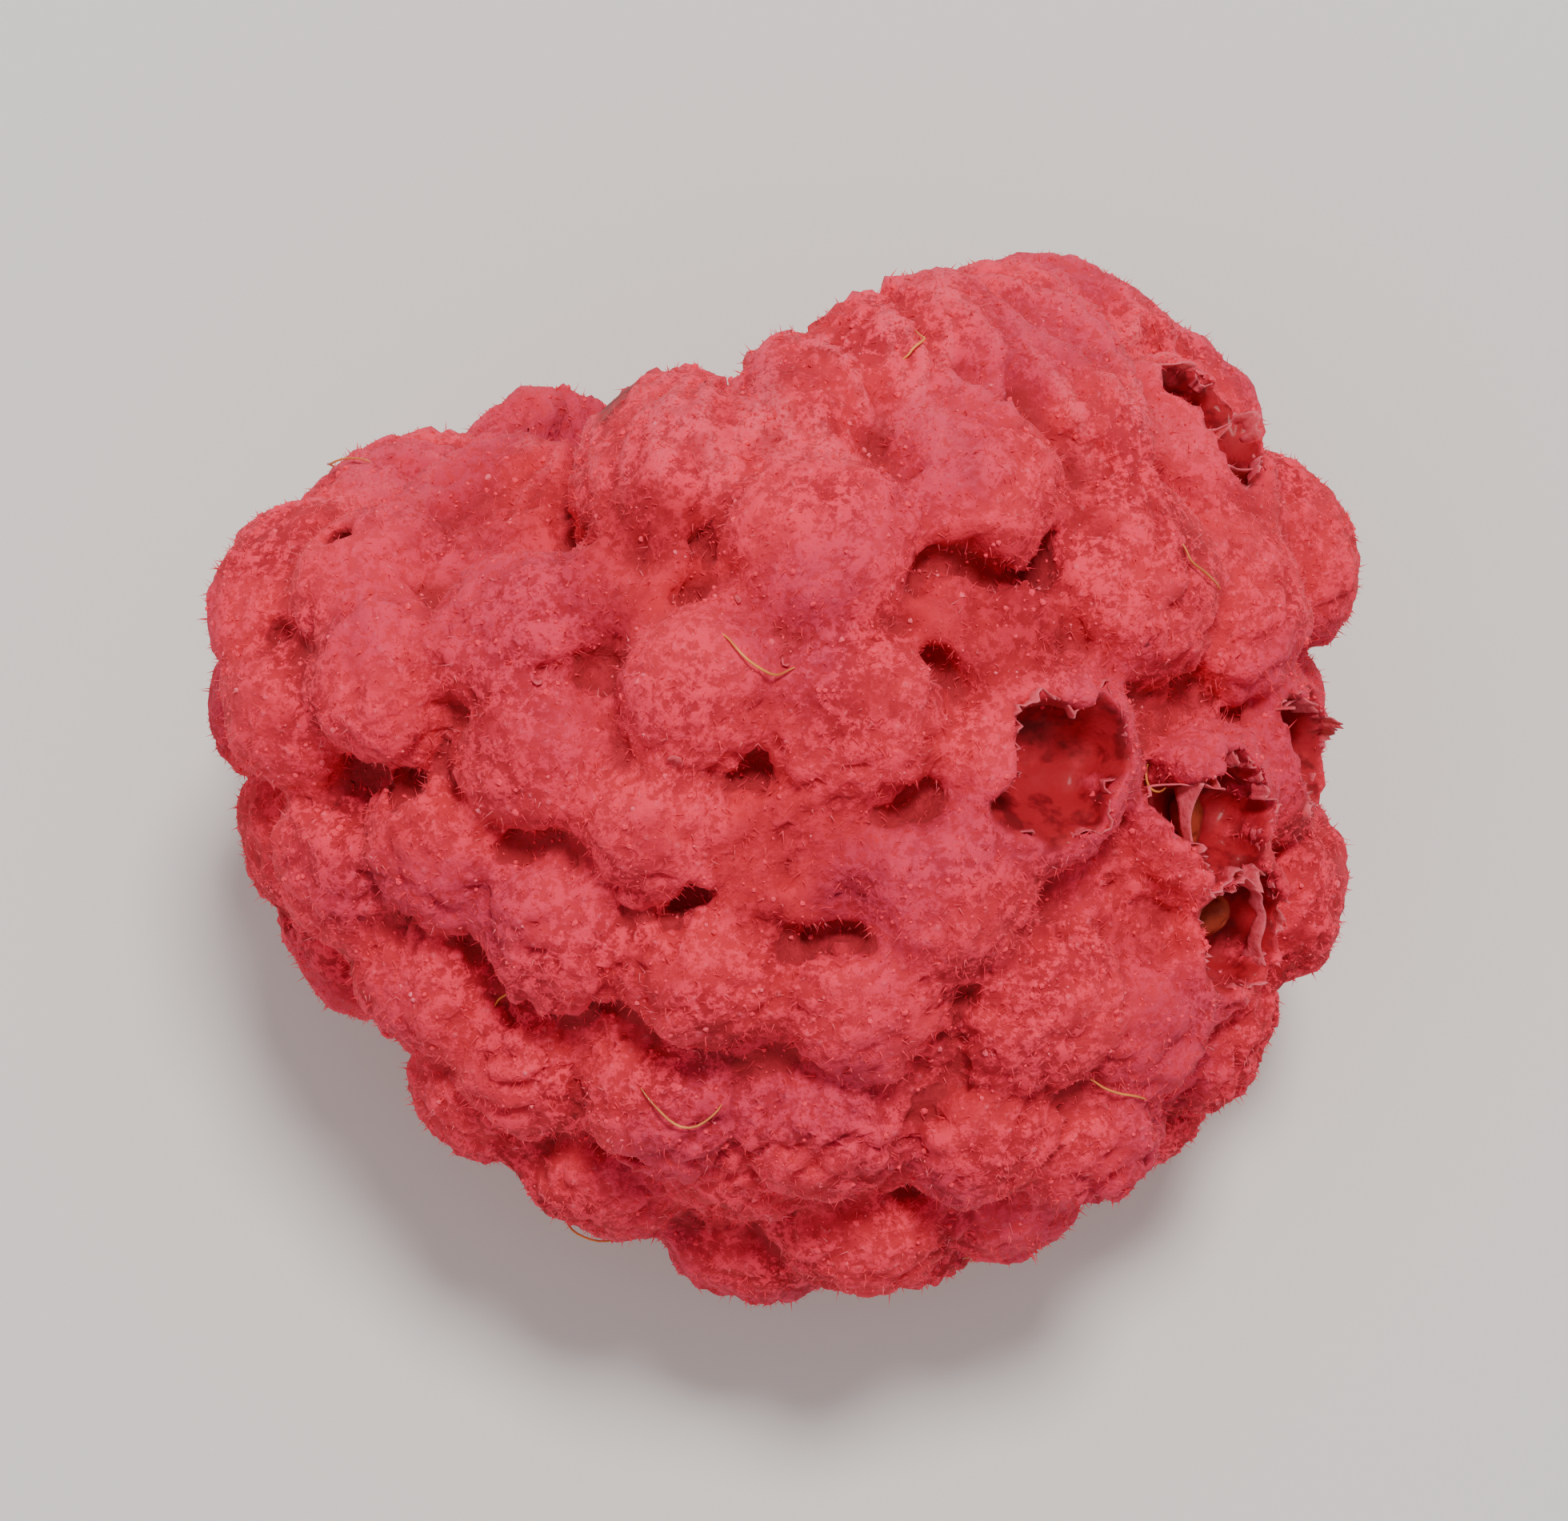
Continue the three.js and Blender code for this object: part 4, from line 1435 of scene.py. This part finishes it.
class RASPBERRY_OT_skins(bpy.types.Operator):
    """Models the torn skin round and across the broken drupelets, and loose flakes of it"""

    bl_idname = "raspberry.skins"
    bl_label = "Torn skin"

    def execute(self, context):
        bm = bmesh.new()
        layer = bm.verts.layers.float.new("edge")
        for count, (number, drupelet) in enumerate(broken_drupelets()):
            self.add_rim(bm, layer, drupelet, number)
            if count:
                self.add_web(bm, layer, drupelet, number)
        self.add_flakes(bm, layer)
        skins = object_from(bm, "torn_skin")
        modified(skins, "SOLIDIFY", thickness=SKIN_THICKNESS, offset=0)
        settle(skins)
        rest_on_surface(skins.data, 0.02)
        finish_piece(skins, skin_finish(look_settings()))
        return {"FINISHED"}

    @staticmethod
    def add_rim(bm, layer, drupelet, number):
        """Ragged shreds of skin that stand round a pit, from a ring that is sunk between them."""
        place = drupelet.final_place()
        grid = bmesh.ops.create_grid(bm, x_segments=150, y_segments=6, size=1)["verts"]
        for vert in grid:
            a = (vert.co.x + 1) * math.pi
            share = (vert.co.y + 1) / 2
            spot = Vector((math.cos(a) * 1.5, math.sin(a) * 1.5, number * 2.7))
            ragged = noise.noise(spot * 0.9) + 0.5 * noise.noise(spot * 4)
            ragged += 0.35 * noise.noise(spot * 14)
            tall = clamp(1.2 * ragged - 0.42, -0.6, 0.7) * 0.4
            reach = drupelet.pit_radius * pit_reach(a, number)
            up = drupelet.dome_height(reach) - 0.45 + share * (0.38 + tall)
            lean = 1.05 - 0.5 * share**2 * max(tall, 0)
            reach *= lean * (1 + 0.05 * noise.noise(spot * 4 + Vector((0, 0, share * 2))))
            vert.co = place @ Vector((math.cos(a) * reach, up, math.sin(a) * reach))
            vert[layer] = share**2
        bmesh.ops.remove_doubles(bm, verts=grid, dist=0.002)

    @staticmethod
    def add_web(bm, layer, drupelet, number):
        """A thin wall of torn skin that crosses a pit from edge to edge, like the film of a bubble."""
        draw = random.Random(SEED * 7 + number)
        place = drupelet.final_place()
        middle, spread = draw.uniform(0, 2 * math.pi), draw.uniform(0.9, 1.3)
        ends = []
        for a in (middle - spread, middle + spread):
            reach = drupelet.pit_radius * pit_reach(a, number) * 1.08
            ends.append(Vector((math.cos(a) * reach, 0, math.sin(a) * reach)))
        outward = Vector((math.cos(middle), 0, math.sin(middle)))
        grid = bmesh.ops.create_grid(bm, x_segments=50, y_segments=5, size=1)["verts"]
        for vert in grid:
            along, share = (vert.co.x + 1) / 2, (vert.co.y + 1) / 2
            arch = math.sin(math.pi * along)
            spot = ends[0].lerp(ends[1], along) + outward * 0.22 * drupelet.pit_radius * arch
            wave = noise.noise(Vector((along * 5, number * 1.9, share * 0.5)))
            upper = drupelet.top - 0.34 - 0.2 * arch + 0.16 * wave
            spot.y = mix(upper - 0.6 * (1 - 0.75 * arch), upper, share)
            vert.co = place @ (spot + outward * 0.1 * wave)
            vert[layer] = 0.3 + 0.7 * share

    @staticmethod
    def add_flakes(bm, layer):
        """Small curled flakes of loose skin."""
        scatter = Scatter(SEED + 4)
        draw = random.Random(SEED + 4)
        keep = np.where(scatter.centres[:, 2] > 1, 1.0, 0.0)
        for face in scatter.pick(FLAKES, keep):
            flake = bmesh.ops.create_circle(bm, cap_ends=True, cap_tris=True, segments=9, radius=1)
            size, curl = draw.uniform(0.06, 0.15), draw.uniform(0.3, 1.1)
            towards = Vector(scatter.normals[face]) * 1.2 + Vector((
                draw.uniform(-1, 1), draw.uniform(-1, 1), draw.uniform(-0.5, 1)
            ))
            matrix = standing_at(scatter.centres[face] + scatter.normals[face] * 0.03, towards, 1, 1)
            for vert in flake["verts"]:
                x, y, away = vert.co.x, vert.co.y, vert.co.length
                reach = size * (1 + 0.5 * (draw.random() - 0.5))
                vert.co = matrix @ Vector((x * reach, y * reach * 0.7, curl * size * x**2))
                vert[layer] = 0.1 + 0.3 * away


class RASPBERRY_OT_pips(bpy.types.Operator):
    """Models the pips that show in broken drupelets, of which the first has lost its own"""

    bl_idname = "raspberry.pips"
    bl_label = "Pips"

    def execute(self, context):
        draw = random.Random(SEED + 5)
        bm = bmesh.new()
        for number, drupelet in broken_drupelets()[1:]:
            self.add_pip(bm, drupelet, number, draw)
        pips = object_from(bm, "pips")
        finish_piece(pips, pip_finish(look_settings()))
        return {"FINISHED"}

    @staticmethod
    def add_pip(bm, drupelet, number, draw):
        turn = Matrix.Rotation(draw.uniform(0, 6), 4, "Y")
        turn = turn @ Matrix.Rotation(draw.uniform(-0.4, 0.4), 4, "X")
        across, along = draw.uniform(-0.1, 0.1), draw.uniform(-0.1, 0.1)
        spot = Vector((across, drupelet.top - PIT_DEPTH, along))
        place = drupelet.final_place() @ Matrix.Translation(spot) @ turn
        for vert in add_ball(bm):
            x, y, z = vert.co
            net = noise.cell(vert.co * 4 + drupelet_offset(number))
            taper = 1 - 0.3 * x
            dip = 1 - 0.035 * net - 0.05 * abs(noise.noise(vert.co * 5))
            shaped = Vector((x * PIP_LENGTH, y * PIP_THICKNESS * taper, z * PIP_WIDTH * taper))
            vert.co = place @ (shaped * dip)


class RASPBERRY_OT_stage(bpy.types.Operator):
    """Sets the floor, the soft lights and the camera of the photo's viewing angle"""

    bl_idname = "raspberry.stage"
    bl_label = "Stage"

    def execute(self, context):
        stage = context.scene.raspberry_stage
        self.add_floor(stage)
        self.add_daylight(stage)
        for name, spot, size, share in LAMPS:
            self.add_lamp(name, spot, size, stage.key_light * share)
        self.add_camera(stage)
        return {"FINISHED"}

    @staticmethod
    def add_floor(stage):
        bm = bmesh.new()
        bmesh.ops.create_circle(bm, cap_ends=True, segments=96, radius=1.5)
        floor = object_from(bm, "floor")
        f = Finish("pale_floor")
        share = f.noise(40, 2)
        low = tuple(0.97 * c for c in stage.floor)
        f.set(
            Base_Color=f.blend(share, low, stage.floor),
            Roughness=0.75 + 0.1 * share,
            Specular_IOR_Level=0.25,
        )
        floor.data.materials.append(f.material)

    @staticmethod
    def add_daylight(stage):
        world = bpy.data.worlds.new("daylight")
        bpy.context.scene.world = world
        world.use_nodes = True
        sky = world.node_tree.nodes["Background"]
        sky.inputs["Color"].default_value = (1.0, 0.985, 0.97, 1)
        sky.inputs["Strength"].default_value = stage.daylight

    @staticmethod
    def add_lamp(name, spot, size, power):
        lamp = bpy.data.lights.new(name, "AREA")
        lamp.shape, lamp.size, lamp.energy = "DISK", size, power
        lamp.color = (1.0, 0.97, 0.93)
        made = linked(name, lamp)
        made.location = spot
        made.rotation_euler = (-Vector(spot)).to_track_quat("-Z", "Y").to_euler()

    @staticmethod
    def add_camera(stage):
        low, high = Vector(CAD_BOX[0]), Vector(CAD_BOX[1])
        middle = (low + high) / 2
        camera = bpy.data.cameras.new("camera")
        camera.lens, camera.sensor_width = 100, 36
        distance = (high.x - low.x) / stage.fill * camera.lens / camera.sensor_width
        e = stage.elevation
        towards = Vector((0, -math.cos(e), math.sin(e)))
        camera.clip_start = 0.005
        made = linked("camera", camera)
        made.location = middle + towards * distance
        made.rotation_euler = (math.pi / 2 - e, 0, 0)
        bpy.context.scene.camera = made


PIECES = (
    RASPBERRY_OT_flesh,
    RASPBERRY_OT_crumbs,
    RASPBERRY_OT_fuzz,
    RASPBERRY_OT_styles,
    RASPBERRY_OT_skins,
    RASPBERRY_OT_pips,
    RASPBERRY_OT_stage,
)


class RASPBERRY_PT_panel(bpy.types.Panel):
    """Lists the berry's pieces and settings"""

    bl_idname = "RASPBERRY_PT_panel"
    bl_label = "Raspberry"
    bl_space_type = "VIEW_3D"
    bl_region_type = "UI"
    bl_category = "Raspberry"

    def draw(self, context):
        for piece in PIECES:
            self.layout.operator(piece.bl_idname)
        for group in GROUPS:
            settings = getattr(context.scene, group)
            box = self.layout.box()
            for name in settings.__annotations__:
                box.prop(settings, name)


GROUPS = {
    "raspberry_berry": RASPBERRY_PG_berry,
    "raspberry_look": RASPBERRY_PG_look,
    "raspberry_stage": RASPBERRY_PG_stage,
}
CLASSES = (*GROUPS.values(), *PIECES, RASPBERRY_PT_panel)


def register():
    for cls in CLASSES:
        bpy.utils.register_class(cls)
    for name, group in GROUPS.items():
        setattr(bpy.types.Scene, name, bpy.props.PointerProperty(type=group))


def unregister():
    for name in GROUPS:
        delattr(bpy.types.Scene, name)
    for cls in reversed(CLASSES):
        bpy.utils.unregister_class(cls)


def main():
    register()
    for piece in PIECES:
        group, name = piece.bl_idname.split(".")
        getattr(getattr(bpy.ops, group), name)()


if __name__ == "__main__":
    main()
